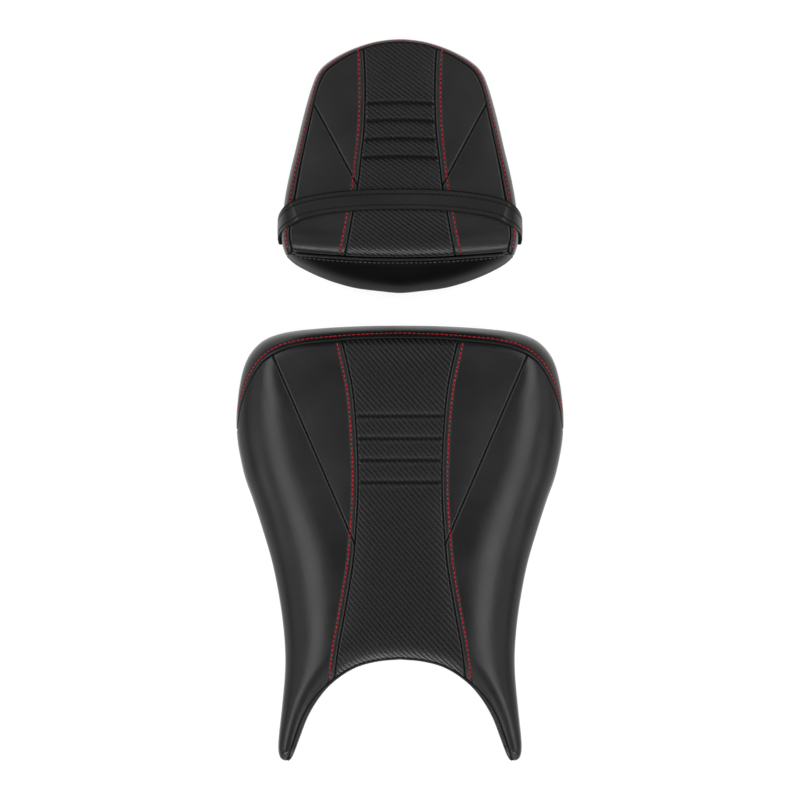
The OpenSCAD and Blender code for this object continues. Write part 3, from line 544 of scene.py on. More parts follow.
PLAIN = vinyl_material("plain_vinyl", (0.006, 0.006, 0.0064), 0.32, 0.25)
# A shaded copy of the plain vinyl for the front skirt: its darker colour is painted shade, and its reflection
# is weaker
SHADED_SKIRT = vinyl_material("shaded_skirt_vinyl", (0.004, 0.004, 0.0043), 0.36, 0.045)
STRAP = vinyl_material("strap_vinyl", (0.006, 0.006, 0.0064), 0.36, 0.18, streaks=0.12)
CARBON = {seat: carbon_material(f"{seat}_carbon_vinyl", weave) for seat, weave in WEAVES.items()}
RED = thread_material("red_thread", (0.4, 0.009, 0.016))
BLACK = thread_material("black_thread", (0.004, 0.004, 0.004))
GREY = thread_material("grey_thread", (0.07, 0.07, 0.07), sheen=0.2)
MOULDED = moulded_material("moulded_pan", (0.02, 0.02, 0.021), 0.58, 1500.0, 0.0002)
RUBBER = moulded_material("bumper_rubber", (0.016, 0.016, 0.016), 0.75, 900.0, 0.00015)
ZINC = metal_material("zinc_plated_steel", (0.58, 0.59, 0.6), 0.38)
COATED = metal_material("powder_coated_steel", (0.03, 0.03, 0.032), 0.45, 0.0)
FOAM = foam_material("seat_foam", (0.05, 0.048, 0.045))

# ---- Panels ----

GAP = 0.42  # half the gap between two panels at a seam
SEAM_R, SEAM_D, SEAM_SHADE = 2.2, 1.8, 1.1  # how wide and deep a panel rolls into a seam, and how wide the painted shade along the seam is
FLANGE = (1.2, 4.0)  # how deep its edge is turned in there
GROOVE_W, GROOVE_D, GROOVE_SHADE = 0.85, 0.6, 0.95  # a row of topstitching pulls this groove, and painted shade this wide lies in it
CHANNEL_W, CHANNEL_D = 1.5, 2.2  # a sewn channel of a quilted panel
# How wide the painted shade along a sewn channel is, on each seat
CHANNEL_SHADE = {"rider": 4.0, "pillion": 2.5}
CHANNEL_FADE = 3.0  # how far from a side seam a channel has its depth
VALLEY_W, VALLEY_D = 6.0, 1.3  # and the wider hollow that it draws in beside it
PUFF_CAP = 1.3  # the most that the filling moves a cover
WALL_FIRM = 0.7  # by how much less it moves a side wall
SINK = 0.6  # the seams lie this far under the middle of the panels' surface
STITCH_PITCH = 4.6
COVER_T = 1.1
HEM_Z, TURN, HEM_W = 14.4, 2.2, 12.5  # the hem's height, the radius of its turn, and its width
HEM_SHARE = 0.45  # of a horn's width, where the hems of both sides have to fit
WALL_ROWS = 12
HELD_SEAM, HELD_CHANNEL, HELD_LOW = 1.5, 2.6, 4  # how near to these the simulation may not move a cover
STRAP_Y, STRAP_PRESS, STRAP_REACH = 200, 0.85, 15.0  # the strap keeps the pillion seat's covers down

panels = []


def set_back(g, side):
    """The grid with one side moved off its seam line by half a gap."""
    axis = 0 if side in "tb" else 1
    n = g.shape[axis]
    order = np.arange(n) if side in "tl" else np.arange(n)[::-1]
    p = np.take(g, order, axis)
    p = p if axis == 1 else np.swapaxes(p, 0, 1)
    run = p - p[:, :1]
    s = np.linalg.norm(run, axis=2)
    width = s[:, -1]
    far = np.array([np.searchsorted(row, 2.0) for row in s]).clip(1, n - 1)
    way = unit(run[np.arange(len(p)), far])
    gap = np.minimum(GAP, 0.2 * width)
    p = p + way[:, None] * (gap[:, None] * np.clip(1 - s / 3.0, 0, 1))[..., None]
    p = p if axis == 1 else np.swapaxes(p, 0, 1)
    return np.take(p, np.argsort(order), axis)


def puckered(s, depth):
    """The wave that stitches draw into a surface along a row."""
    return 1 - depth + depth * np.cos(2 * math.pi * s / STITCH_PITCH)


class Panel:
    """One sewn piece of the cover of the seat that starts its name, as a grid on the seat's surface."""

    def __init__(self, name, base, seams, sides, nodes, grooves=(), channels=(), weave=None, way=(0, 0, 1),
                 top_cols=None, puff=1.0, material=PLAIN):
        for side in sides:
            base = set_back(base, side)
        self.name, self.seat, self.base, self.sides, self.nodes = name, name.split("_")[0], base, sides, nodes
        self.grooves, self.channels, self.weave = grooves, channels, weave
        self.puff, self.material = puff, material
        self.n, self.flip = outward(base, way)
        self.top_cols = top_cols or base.shape[1]
        self.from_seam = np.min([distance(base, seam) for seam in seams], 0)
        panels.append(self)

    def coarse(self):
        """Rows and columns of a coarser grid for the simulation."""
        picks = []
        for axis in (0, 1):
            gaps = np.linalg.norm(np.diff(self.base, axis=axis), axis=2).max(1 - axis)
            s = np.concatenate([[0], np.cumsum(gaps)])
            marks = np.linspace(0, s[-1], max(3, int(round(s[-1] / SIM_GRID)) + 1))
            picks.append(np.unique(np.abs(s[None] - marks[:, None]).argmin(1)))
        return picks

    def held(self):
        """Where the cover can't move: at its seams, in its channels, and where it turns under the pan."""
        held = self.from_seam < HELD_SEAM
        for channel in self.channels:
            held |= distance(self.base, channel) < HELD_CHANNEL
        return held | (self.base[..., 2] < HEM_Z + TURN + HELD_LOW)

    def build(self, moved):
        """The finished piece: filled, pressed in at seams and stitches, with its edges turned in."""
        g, n = self.base, self.n
        uv_grid = arc_uv(g).reshape(*g.shape[:2], 2)
        low = np.clip((g[..., 2] - HEM_Z - TURN - 2) / 12, 0, 1)
        strap = STRAP_PRESS * np.exp(-((g[..., 1] - STRAP_Y + (g[..., 0] / 30) ** 2) / STRAP_REACH) ** 2)
        on_wall = smooth_step((np.arange(g.shape[1]) - self.top_cols) / 4)
        moved = moved * (self.puff * (1 - strap) * (1 - WALL_FIRM * on_wall))[..., None]
        drop = SINK * low + roll(self.from_seam, SEAM_R, SEAM_D)
        # Painted shade: darker along the seams, in the stitch grooves and beside the channels, where shadow
        # would fall
        shade = np.exp(-(self.from_seam / SEAM_SHADE) ** 2)
        for groove in self.grooves:
            d, s = near(g, groove)
            shade = np.maximum(shade, 0.95 * np.exp(-(d / GROOVE_SHADE) ** 2))
            drop = drop + GROOVE_D * np.exp(-(d / GROOVE_W) ** 2) * puckered(s, 0.2)
        for channel in self.channels:
            d, s = near(g, channel)
            ends, puckers = smooth_step(self.from_seam / CHANNEL_FADE), puckered(s, 0.15)
            cut = CHANNEL_D * np.exp(-d / CHANNEL_W) * puckers + VALLEY_D * np.exp(-d / VALLEY_W)
            drop = drop + cut * ends
            shade = np.maximum(shade, np.exp(-(d / (CHANNEL_SHADE[self.seat] * puckers)) ** 2) * ends)
        if self.weave:
            turn = math.radians(self.weave[1])
            across = (uv_grid[..., 0] * math.sin(turn) + uv_grid[..., 1] * math.cos(turn)) / MM
            ridge = np.abs(np.sin(across * math.pi / self.weave[0])) ** WEAVE_POWER
            drop = drop - WEAVE_H * ridge * np.clip(self.from_seam / 1.5, 0, 1)
        g = g + moved - n * drop[..., None]
        for side in self.sides:
            axis = 0 if side in "tb" else 1
            first = side in "tl"
            for depth in np.diff([0, *FLANGE]):
                pick = [0 if first else -1]
                parts = [np.take(a, pick, axis) for a in (g, n, uv_grid, shade)]
                parts[0] = parts[0] - parts[1] * depth
                # the turned-in edge is painted in full shade
                parts[3] = parts[3] * 0 + 1
                g, n, uv_grid, shade = (np.concatenate((part, a) if first else (a, part), axis)
                                        for part, a in zip(parts, (g, n, uv_grid, shade)))
        material, slot = (CARBON[self.seat], "carbon_vinyl") if self.weave else (self.material, "plain_vinyl")
        obj = new_object(self.name, g.reshape(-1, 3), grid_faces(*g.shape[:2], self.flip), material,
                         f"{self.seat}_seat", self.nodes, slot, uv_grid.reshape(-1, 2), shade)
        thick = obj.modifiers.new("thickness", "SOLIDIFY")
        thick.thickness, thick.offset = COVER_T * MM, -1
        self.surface = g


def with_wall(top, shares, edge, middle, bulge=0.3, room=None):
    """The top surface's grid with columns added down its outer side, round under the pan, and in as a hem."""
    outer = top[:, -1]
    t = unit(edge.at(np.clip(shares + 0.004, 0, 1)) - edge.at(np.clip(shares - 0.004, 0, 1)))
    out = np.column_stack([-t[:, 1], t[:, 0], np.zeros(len(t))])
    if (out[:, :2] * (outer[:, :2] - middle)).sum() < 0:
        out = -out
    s = shares * edge.length
    cols = [top]
    height = outer[:, 2] - (HEM_Z + TURN)
    for w in np.arange(1, WALL_ROWS + 1) / WALL_ROWS:
        away = bulge * np.sin(math.pi * w) * np.clip(height / 40, 0, 1)
        p = outer + out * away[:, None]
        p[:, 2] = outer[:, 2] - height * w
        cols.append(p[:, None])
    for angle in (22, 45, 67, 90):
        a = math.radians(angle)
        p = outer - out * TURN * (1 - math.cos(a))
        p[:, 2] = HEM_Z + TURN * (1 - math.sin(a))
        cols.append(p[:, None])
    width = np.full(len(s), HEM_W) if room is None else np.clip(room - TURN, 0.5, HEM_W)
    gathers = (np.sin(s / 1.9) + np.sin(s / 3.1 + 1) + np.sin(s / 0.83 + 2) * 0.6) / 2.6
    for w in (0.2, 0.4, 0.6, 0.8, 1.0):
        p = outer - out * (TURN + width * w)[:, None]
        p[:, 2] = HEM_Z + 0.25 * w * (1 + gathers)
        cols.append(p[:, None])
    return np.concatenate(cols, 1)


def flipped(g):
    return g * [-1, 1, 1]


def both(line):
    """A half line and its mirror image as one line, from the right side to the left."""
    return joined(line.mirrored().reversed(), line)


def two_sides(*lines):
    return [line for one in lines for line in (one, one.mirrored())]


def on_both_sides(stem, base, seams, sides, stitch, **more):
    """A panel of the left side with a row of topstitching, and its mirror image on the right."""
    Panel(f"{stem}_cover_left", base, seams, sides, [f"{stem}_left"], [stitch], **more)
    Panel(f"{stem}_cover_right", flipped(base), [s.mirrored() for s in seams], sides, [f"{stem}_right"],
          [stitch.mirrored()], **more)


def upright(line):
    """A vertical seam from a line's end down to the hem."""
    x, y, z = line.at(1)
    low = 12.0
    return Line([(x, y, z), (x, y, (z + low) / 2), (x, y, low)])


def channel_at(y, seam, sag, height):
    """A sewn channel across a quilted panel."""
    half = seam.at(seam.where(1, y))[0]
    x = np.linspace(-half, half, 40)
    return lifted(Line(np.column_stack([x, y - sag * (x / half) ** 2])), height)


def quilted(seat, seam, rear, front, channels):
    """The quilted panel between the two centre seams of a seat."""
    fine, height = {"fine": 0.4, "coarse": 0.75, "zone": 1.0, "growth": 0.2}, HEIGHTS[seat]
    top = seam.points[0, 1]
    vs = steps(seam.length, [0, *[top - c.points[:, 1].mean() for c in channels], seam.length], **fine)
    width = 2 * seam.points[:, 0].max()
    us = steps(width, [0, width], **fine)
    base = on_surface(patch(both(rear), both(front), seam.mirrored(), seam, us, vs), height)
    seams = [lifted(line, height) for line in (seam, seam.mirrored(), both(rear), both(front))]
    Panel(f"{seat}_quilted_cover", base, seams, "lrtb", [f"{seat}_center_panel"], channels=channels,
          weave=WEAVES[seat])


def wedges(seat, rear, center, diagonal_line, length, width, seams, stitch):
    """The panels between the centre seams and the diagonals, which end in a narrow tip."""
    inner, outer = center.part(0, WEDGE_TIP), diagonal_line.part(0, WEDGE_TIP)
    us, vs = steps(width, [0, 6, width], coarse=2.0), steps(length, [0], coarse=1.3)
    plan = patch(rear, Line([inner.at(1), outer.at(1)]), inner, outer, us, vs)
    on_both_sides(f"{seat}_wedge", on_surface(plan, HEIGHTS[seat]), seams, "lrtb", stitch)


def strip(seam, edge, us):
    """A strip that crosses the middle: its seam and edge, the shares along it, and its plan."""
    seam, edge = both(seam), both(edge)
    vs = steps(edge.length, [0, edge.length], coarse=1.3)
    u = us[None, :, None]
    return seam, edge, vs, seam.at(vs)[:, None] * (1 - u) + edge.at(vs)[:, None] * u


STITCH_AWAY = 5.6  # topstitching runs this far outside the centre seams
STITCH_PAST = 5.5  # and the rider seat's this far on over the facing
WEDGE_TIP, OUTER_TIP = 0.993, 0.006  # shares at which a pointed panel ends
RIDER_MIDDLE, PILLION_MIDDLE = (0, -100.0), (0, 230.0)

# Rider seat
WEDGE_SHARE = 0.6  # where on the rear seam the diagonal seam starts
center_share = rider_center_seam.where(1, REAR_Y - 218)
diagonal = ruled(rider_rear_seam.at(WEDGE_SHARE), rider_center_seam.at(center_share))
rear_start = rider_rear_seam.where(0, rider_center_seam.at(0)[0])
tank_end = tank_seam.where(0, rider_center_seam.at(1)[0])
rear3, center3, diagonal3, tank3 = (lifted(line, rider_z) for line in (
    rider_rear_seam, rider_center_seam, diagonal, tank_seam))
side_upright, tip_upright = (upright(lifted(line, rider_z)) for line in (rider_rear_edge, rider_side_edge))
rider_center_stitch = lifted(longer(rider_center_seam.beside(-STITCH_AWAY), STITCH_PAST), rider_z)
rider_rear_stitch = lifted(rider_plan([(0, -6.5), (43, -8), (73.5, -10.5), (93.5, -12.5), (113.5, -16.5),
                                       (123.5, -20.5), (133.5, -26.5), (143.5, -36.5), (153.5, -53.5),
                                       (159, -69), (163.2, -86)]), rider_z)
rider_channels = [channel_at(y, rider_center_seam, 0.0, rider_z) for y in (-16.5, -39, -60.5, -82.5)]

quilted("rider", rider_center_seam, rider_rear_seam.part(0, rear_start), tank_seam.part(0, tank_end),
        rider_channels)
wedges("rider", rider_rear_seam.part(rear_start, WEDGE_SHARE), rider_center_seam.part(0, center_share),
       diagonal, 200, 76, [rear3, center3, diagonal3], rider_center_stitch)

vs = steps(rider_side_edge.length, [0, rider_side_edge.length], coarse=1.3)
us = steps(118, [0, 6, 118], coarse=2.0, growth=0.15)
side_plan = patch(rider_rear_seam.part(WEDGE_SHARE, 1), tank_seam.part(tank_end, 1),
                  joined(diagonal, rider_center_seam.part(center_share, 1)), rider_side_edge, us, vs)
horn_room = distance(rider_side_edge.at(vs), tank_edge) * HEM_SHARE
on_both_sides("rider_side",
              with_wall(on_surface(side_plan, rider_z), vs, rider_side_edge, RIDER_MIDDLE, room=horn_room),
              [rear3, center3, diagonal3, tank3, side_upright, tip_upright], "ltb", rider_center_stitch,
              top_cols=len(us))

us = steps(16, [0, 5, 16], coarse=0.9)
_, edge, vs, plan = strip(rider_rear_seam, rider_rear_edge, us)
Panel("rider_rear_band_cover", with_wall(on_surface(plan, rider_z), vs, edge, RIDER_MIDDLE),
      [both(rear3), *two_sides(side_upright)], "ltb", ["rider_rear_band", "rider_hem"],
      [both(rider_rear_stitch)], way=(0, 1, 1), top_cols=len(us))

us = np.array([0, 0.2, 0.45, 0.7, 0.9, 1.0])
_, edge, vs, plan = strip(tank_seam, tank_edge, us)
facing_room = distance(np.abs(edge.at(vs)) * [1, -1], rider_side_edge) * HEM_SHARE
Panel("rider_front_facing_cover",
      with_wall(on_surface(plan, rider_z), vs, edge, RIDER_MIDDLE, bulge=0.4, room=facing_room),
      [both(tank3), *two_sides(tip_upright)], "ltb", ["rider_front_facing"], way=(0, -1, 0),
      top_cols=len(us), puff=0.3)

# Pillion seat
corner_share = band_seam.where(1, FRONT_Y + 189)
center_share = pillion_center_seam.where(1, FRONT_Y + 107)
diagonal = ruled(band_seam.at(corner_share), pillion_center_seam.at(center_share))
band_start = band_seam.where(0, pillion_center_seam.at(0)[0])
front_end = front_seam.where(0, pillion_center_seam.at(1)[0])
band3, center3, diagonal3, front3 = (lifted(line, pillion_z) for line in (
    band_seam, pillion_center_seam, diagonal, front_seam))
corner_upright = upright(lifted(pillion_edge, pillion_z))
pillion_center_stitch = lifted(pillion_center_seam.beside(-STITCH_AWAY), pillion_z)
pillion_channels = [channel_at(y, pillion_center_seam, 1.5, pillion_z) for y in (297.5, 280, 261.5, 243.5)]

quilted("pillion", pillion_center_seam, band_seam.part(0, band_start), front_seam.part(0, front_end),
        pillion_channels)
wedges("pillion", band_seam.part(band_start, corner_share), pillion_center_seam.part(0, center_share),
       diagonal, 135, 50, [band3, center3, diagonal3], pillion_center_stitch)

inner, outer = joined(diagonal, pillion_center_seam.part(center_share, 1)), band_seam.part(corner_share, 1)
vs = steps(inner.length, [0, inner.length], coarse=1.2)
us = steps(58, [0, 6, 58], coarse=1.8)
outer_plan = patch(Line([inner.at(OUTER_TIP), outer.at(OUTER_TIP)]), front_seam.part(front_end, 1),
                   inner.part(OUTER_TIP, 1), outer.part(OUTER_TIP, 1), us, vs)
on_both_sides("pillion_outer", on_surface(outer_plan, pillion_z), [band3, center3, diagonal3, front3], "lrtb",
              pillion_center_stitch)

BAND_STITCH = 5.1  # how far down the band its stitches run
us = steps(8, [0, 4, 8], fine=0.4, coarse=0.7)
_, edge, vs, plan = strip(band_seam, pillion_edge, us)
band = with_wall(on_surface(plan, pillion_z), vs, edge, PILLION_MIDDLE)
from_top = np.cumsum(np.linalg.norm(np.diff(band, axis=1, prepend=band[:, :1]), axis=2), 1)


def at_stitches(values):
    """The band's values, given on its grid, where its stitches run."""
    return np.array([read_at(BAND_STITCH, s, row) for s, row in zip(from_top, values)])


band_stitch = Line(at_stitches(band))
band_panel = Panel("pillion_side_band_cover", band, [both(band3), *two_sides(corner_upright)], "ltb",
                   ["pillion_side_band", "pillion_hem"], [band_stitch], top_cols=len(us))
band_ups = at_stitches(band_panel.n)

SKIRT_DROP, SKIRT_LOW = 2.6, 20.0  # how far under the front seam the skirt starts, and where it ends
SKIRT_GENTLE, SKIRT_STITCH = 0.56, 5.2
us = steps(55, [0, 5, 55], coarse=1.5)
seam, edge, vs, plan = strip(front_seam, skirt_edge, us)
skirt_top = pillion_z(seam.at(vs))[:, None] - SKIRT_DROP
skirt_fall = SKIRT_GENTLE * us + (1 - SKIRT_GENTLE) * us ** 5  # gentle below the piping, then steep
skirt = np.dstack([plan, skirt_top * (1 - skirt_fall) + SKIRT_LOW * skirt_fall])
stitch_u = np.minimum(SKIRT_STITCH / np.linalg.norm(edge.at(vs) - seam.at(vs), axis=1), 0.35)
skirt_stitch = Line([read_at(u, us, row) for u, row in zip(stitch_u, skirt)])
Panel("pillion_front_skirt_cover", with_wall(skirt, vs, edge, PILLION_MIDDLE),
      [Line(np.column_stack([seam.at(vs), skirt_top])), *two_sides(corner_upright)], "ltb",
      ["pillion_front_skirt"], [skirt_stitch], way=(0, -1, 1), top_cols=len(us), puff=0.6, material=SHADED_SKIRT)

# ---- The covers are filled ----

SIM_FRAMES, SIM_PRESSURE = 20, 14.0
SIM_GRID = 5.0  # millimetres between the simulated points


def simulate():
    """Blows every cover up from inside, held along its seams, and returns how far each point moves."""
    vertices, faces, held, spans = [], [], [], []
    for p in panels:
        rows, cols = p.coarse()
        g = p.base[np.ix_(rows, cols)]
        start = len(vertices)
        vertices += g.reshape(-1, 3).tolist()
        faces += shifted(grid_faces(len(rows), len(cols), p.flip), start)
        held += p.held()[np.ix_(rows, cols)].ravel().tolist()
        spans.append((start, rows, cols))
    before = np.array(vertices)
    mesh = bpy.data.meshes.new("filling")
    mesh.from_pydata((before * MM).tolist(), [], faces)
    obj = in_scene("filling", mesh)
    obj.vertex_groups.new(name="held").add([i for i, h in enumerate(held) if h], 1.0, "REPLACE")
    cloth = obj.modifiers.new("cloth", "CLOTH")
    cloth.settings.vertex_group_mass = "held"
    cloth.settings.use_pressure = True
    cloth.settings.uniform_pressure_force = SIM_PRESSURE
    cloth.settings.tension_stiffness = cloth.settings.compression_stiffness = 30
    cloth.settings.bending_stiffness = 0.4
    cloth.settings.quality = 4
    cloth.settings.effector_weights.gravity = 0
    cloth.collision_settings.use_collision = False
    cloth.point_cache.frame_start, cloth.point_cache.frame_end = 1, SIM_FRAMES
    for frame_number in range(1, SIM_FRAMES + 1):
        scene.frame_set(frame_number)
    result = obj.evaluated_get(bpy.context.evaluated_depsgraph_get()).data
    after = np.empty(len(result.vertices) * 3)
    result.vertices.foreach_get("co", after)
    after = after.reshape(-1, 3) / MM
    bpy.data.objects.remove(obj)
    bpy.data.meshes.remove(mesh)
    scene.frame_set(1)
    moved = []
    for p, (start, rows, cols) in zip(panels, spans):
        shape = (len(rows), len(cols), 3)
        d = (after - before)[start:start + shape[0] * shape[1]].reshape(shape)
        rise = (d * p.n[np.ix_(rows, cols)]).sum(2)
        rise = PUFF_CAP * np.tanh(np.maximum(rise, 0) / PUFF_CAP)
        for axis in (0, 1):  # evens out the coarse grid's creases
            around = np.pad(rise, [(1, 1) if k == axis else (0, 0) for k in (0, 1)], mode="edge")
            ahead, behind = (np.take(around, np.arange(rise.shape[axis]) + k, axis) for k in (0, 2))
            rise = (ahead + 2 * rise + behind) / 4
        i, j = np.arange(p.base.shape[0]), np.arange(p.base.shape[1])
        wide = np.stack([np.interp(j, cols, row) for row in rise])
        full = np.stack([np.interp(i, rows, c) for c in wide.T], 1)
        moved.append(p.n * full[..., None])
    return moved


for panel, moved in zip(panels, simulate()):
    panel.build(moved)

# ---- Stitching ----


class Surface:
    """A seat's finished covers, to lay stitches on."""

    def __init__(self, seat):
        vertices, polygons = [], []
        for p in panels:
            if p.seat == seat:
                polygons += shifted(grid_faces(*p.surface.shape[:2]), len(vertices))
                vertices += p.surface.reshape(-1, 3).tolist()
        self.tree = BVHTree.FromPolygons(vertices, polygons)

    def drop(self, points, ups, start=9.0):
        """Each point moved along its normal onto the covers, and the covers' normal there."""
        spots, turned = [], []
        for point, up in zip(points, ups):
            spot, normal, _, _ = self.tree.ray_cast(Vector(point + up * start), Vector(-up), 2.6 * start)
            if spot is None:
                spot, normal = Vector(point - up * SINK), Vector(up)
            spots.append(spot)
            turned.append(normal if normal.dot(Vector(up)) > 0 else -normal)
        return np.array(spots), np.array(turned)


def slopes(points, height):
    """The upward normals of a seat's surface at plan points."""
    e = 0.4
    x, y = np.array([e, 0]), np.array([0, e])
    p = points[:, :2]
    return unit(np.column_stack([height(p - x) - height(p + x), height(p - y) - height(p + y),
                                 np.full(len(p), 2 * e)]))


THREAD, FINE_THREAD, THREAD_SIDES = 0.52, 0.36, 6


def threads(vertices, faces, spots, ups, ways, length, radius, dip):
    """Adds short stitches, each a thread that comes up out of the cover and goes down into it again."""
    turns = np.linspace(0, 2 * math.pi, THREAD_SIDES, endpoint=False)
    stations = np.array([-0.5, -0.46, -0.3, 0, 0.3, 0.46, 0.5])
    lifts = np.array([-dip, -dip * 0.15, radius * 0.55, radius * 0.75, radius * 0.55, -dip * 0.15, -dip])
    sizes = np.array([0.55, 0.9, 1, 1, 1, 0.9, 0.55]) * radius
    for spot, up, way in zip(spots, ups, ways):
        way = unit(way - up * way.dot(up))
        side = np.cross(way, up)
        first, last = len(vertices), len(vertices) + (len(stations) - 1) * THREAD_SIDES
        for station, lift, size in zip(stations, lifts, sizes):
            middle = spot + way * station * length + up * lift
            for turn in turns:
                vertices.append(middle + (side * math.cos(turn) + up * math.sin(turn)) * size)
        faces += shifted(grid_faces(len(stations), THREAD_SIDES, closed=True), first)
        faces += [[first + k for k in range(THREAD_SIDES)], [last + k for k in reversed(range(THREAD_SIDES))]]


surfaces = {seat: Surface(seat) for seat in HEIGHTS}


def sewn(name, lines, material, ends, length=3.3, radius=THREAD, ups=None):
    """A row of stitches along each line, on the seat that starts its name. Red rows replace packed ones."""
    seat = name.split("_")[0]
    vertices, faces = [], []
    for line in lines:
        whole = line.part(*ends, n=400)
        count = int(whole.length / STITCH_PITCH)
        shares = (np.arange(count) + 0.5) / count
        points = whole.at(shares)
        way = whole.at(np.clip(shares + 0.002, 0, 1)) - whole.at(np.clip(shares - 0.002, 0, 1))
        if ups is None:
            up = slopes(points, HEIGHTS[seat])
        else:
            up = ups[((points[:, None] - line.points[None]) ** 2).sum(2).argmin(1)]
        threads(vertices, faces, *surfaces[seat].drop(points, up), way, length, radius, 0.75)
    red = ([name.replace("stitches", "stitching")], "red_thread") if material is RED else ()
    new_object(name, vertices, faces, material, f"{seat}_seat", *red)


sewn("rider_center_stitches", two_sides(rider_center_stitch), RED, (0.004, 0.985))
sewn("rider_rear_stitches", [both(rider_rear_stitch)], RED, (0.004, 0.996), length=3.6)
sewn("rider_channel_stitches", rider_channels, BLACK, (0.03, 0.97), length=3.0, radius=FINE_THREAD)
sewn("pillion_center_stitches", two_sides(pillion_center_stitch), RED, (0.01, 0.985))
sewn("pillion_band_stitches", [band_stitch], RED, (0.015, 0.985), ups=band_ups)
sewn("pillion_channel_stitches", pillion_channels, BLACK, (0.03, 0.97), radius=FINE_THREAD)
sewn("pillion_skirt_stitches", [skirt_stitch], GREY, (0.02, 0.98), radius=FINE_THREAD,
     ups=np.tile([0, -0.55, 0.83], (len(skirt_stitch.points), 1)))

# ---- Piping ----


def tube(points, radius, sides=12):
    """A round cord along points, with closed ends, that wavers a little where it is sewn."""
    points = np.asarray(points)
    t = unit(np.gradient(points, axis=0))
    side = unit(np.cross(t, [0, 0, 1.0]))
    up = np.cross(side, t)
    turns = np.linspace(0, 2 * math.pi, sides, endpoint=False)
    run = np.concatenate([[0], np.cumsum(np.linalg.norm(np.diff(points, axis=0), axis=1))])
    size = radius * (1 + 0.04 * np.cos(2 * math.pi * run / STITCH_PITCH))
    size[[0, -1]] *= 0.5
    rings = (points[:, None] + (side[:, None] * np.cos(turns)[None, :, None]
                                + up[:, None] * np.sin(turns)[None, :, None]) * size[:, None, None])
    faces = grid_faces(len(points), sides, closed=True)
    last = (len(points) - 1) * sides
    return rings.reshape(-1, 3), [*faces, list(range(sides)), [last + k for k in reversed(range(sides))]]


PIPING_R, PIPING_OFF = 1.25, (0, -1.3, -1.5)  # its radius, and how far from the front seam it lies
welt = both(front3).part(0.02, 0.98, n=200)
new_object("pillion_front_piping", *tube(welt.points + PIPING_OFF, PIPING_R), PLAIN, "pillion_seat",
           ["pillion_piping"], "plain_vinyl")

# ---- Grab strap ----

STRAP_W, STRAP_T, STRAP_STITCH_IN = 21.0, 2.6, 5.0
STRAP_OFF, STRAP_OUT = 1.4, 1.75  # its gap over the cushion, and at the side
STRAP_BEND, TAB_Z = 2.2, 11.4  # the radius of its turn under the pan, and its height there
STRAP_SHOULDER = 1.3  # how much further it stands off where it turns down
STRAP_DOWN = (170, 44)  # y and z where it starts down the side
ANCHOR = (100.0, 166.0)  # its bolt
BEFORE_BOLT = 34  # how far from its end the stitches stop
strap_line = Line(spline([(0, 200), (30, 199.6), (60, 197.5), (85, 193.8), (100, 189.8), (110, 184.5),
                          (116, 177.5), (118.6, 172)]))


def strap_path():
    """The middle of half the strap and where its outer face looks: over, down the side, and under the pan."""
    s = np.linspace(0, 1, 46)
    plan = strap_line.at(s * 0.96)
    up = slopes(plan, pillion_z)
    over = on_surface(plan, pillion_z) + up * (STRAP_OFF + 1.2 * s ** 3 + STRAP_T / 2)[:, None]
    side_x, (anchor_x, anchor_y) = strap_line.at(1)[0] + STRAP_OUT, ANCHOR
    low = TAB_Z + STRAP_T / 2 + STRAP_BEND
    k = np.linspace(0, 1, 9)
    y, z = STRAP_DOWN
    down = np.column_stack([np.full(9, side_x), y + (anchor_y - y) * k, z + (low - z) * k])
    a = np.radians([20, 45, 70, 90])
    bend = np.column_stack([side_x - STRAP_BEND * (1 - np.cos(a)), np.full(4, anchor_y),
                            low - STRAP_BEND * np.sin(a)])
    x = np.linspace(side_x - STRAP_BEND - 2, anchor_x - 12, 10)
    under = np.column_stack([x, np.full(10, anchor_y), np.full(10, TAB_Z + STRAP_T / 2)])
    ups = [up, np.tile([1.0, 0, 0], (9, 1)), np.column_stack([np.cos(a), 0 * a, -np.sin(a)]),
           np.tile([0, 0, -1.0], (10, 1))]
    return np.vstack([over, down, bend, under]), np.vstack(ups)


def strap_section():
    """The strap's outline across its width: two plies, rolled edges, and a groove at each row of stitches."""
    half, t = STRAP_W / 2, STRAP_T / 2
    flat = np.concatenate([np.linspace(-half + t, -half + 4.2, 4), np.linspace(-half + 4.5, -half + 5.5, 5),
                           np.linspace(-half + 6, half - 6, 9), np.linspace(half - 5.5, half - 4.5, 5),
                           np.linspace(half - 4.2, half - t, 4)])
    groove = sum(np.exp(-((flat - side * (half - STRAP_STITCH_IN)) / 0.5) ** 2) for side in (-1, 1))
    crown = 0.35 * np.sqrt(np.maximum(0, 1 - (flat / (half - STRAP_STITCH_IN)) ** 2))
    top = np.column_stack([flat, t + crown - 0.4 * groove])
    bottom = np.column_stack([flat[::-1], -t + 0.2 * groove[::-1]])
    a = np.linspace(90, -90, 7)[1:-1]
    right = np.column_stack([half - t + t * np.cos(np.radians(a)), t * np.sin(np.radians(a))])
    left = right[::-1] * [-1, 1]
    return np.vstack([top, right, bottom, left])


def strap_frame():
    """Points along half the strap, with its outward and sideways directions, and the length up to each."""
    points, ups = strap_path()
    for _ in range(12):  # eases the corner where the strap leaves the cushion
        points[40:53] = (points[39:52] + points[40:53] + points[41:54]) / 3
        ups[40:53] = ups[39:52] + ups[40:53] + ups[41:54]
        ups = unit(ups)
    points[38:54] += ups[38:54] * STRAP_SHOULDER * np.sin(np.linspace(0, math.pi, 16))[:, None] ** 2
    s = Line(points)
    shares = np.concatenate([np.linspace(0, 0.72, 100), np.linspace(0.72, 1, 60)[1:]])
    ups = read_at(shares * s.length, s.sums, ups)
    points = s.at(shares)
    t = np.gradient(points, axis=0)
    t[0] = [1, 0, 0]
    t = unit(t)
    ups = unit(ups - t * (ups * t).sum(1)[:, None])
    return points, ups, np.cross(ups, t), shares * s.length


strap_points, strap_ups, strap_sides, strap_run = strap_frame()
section = strap_section()


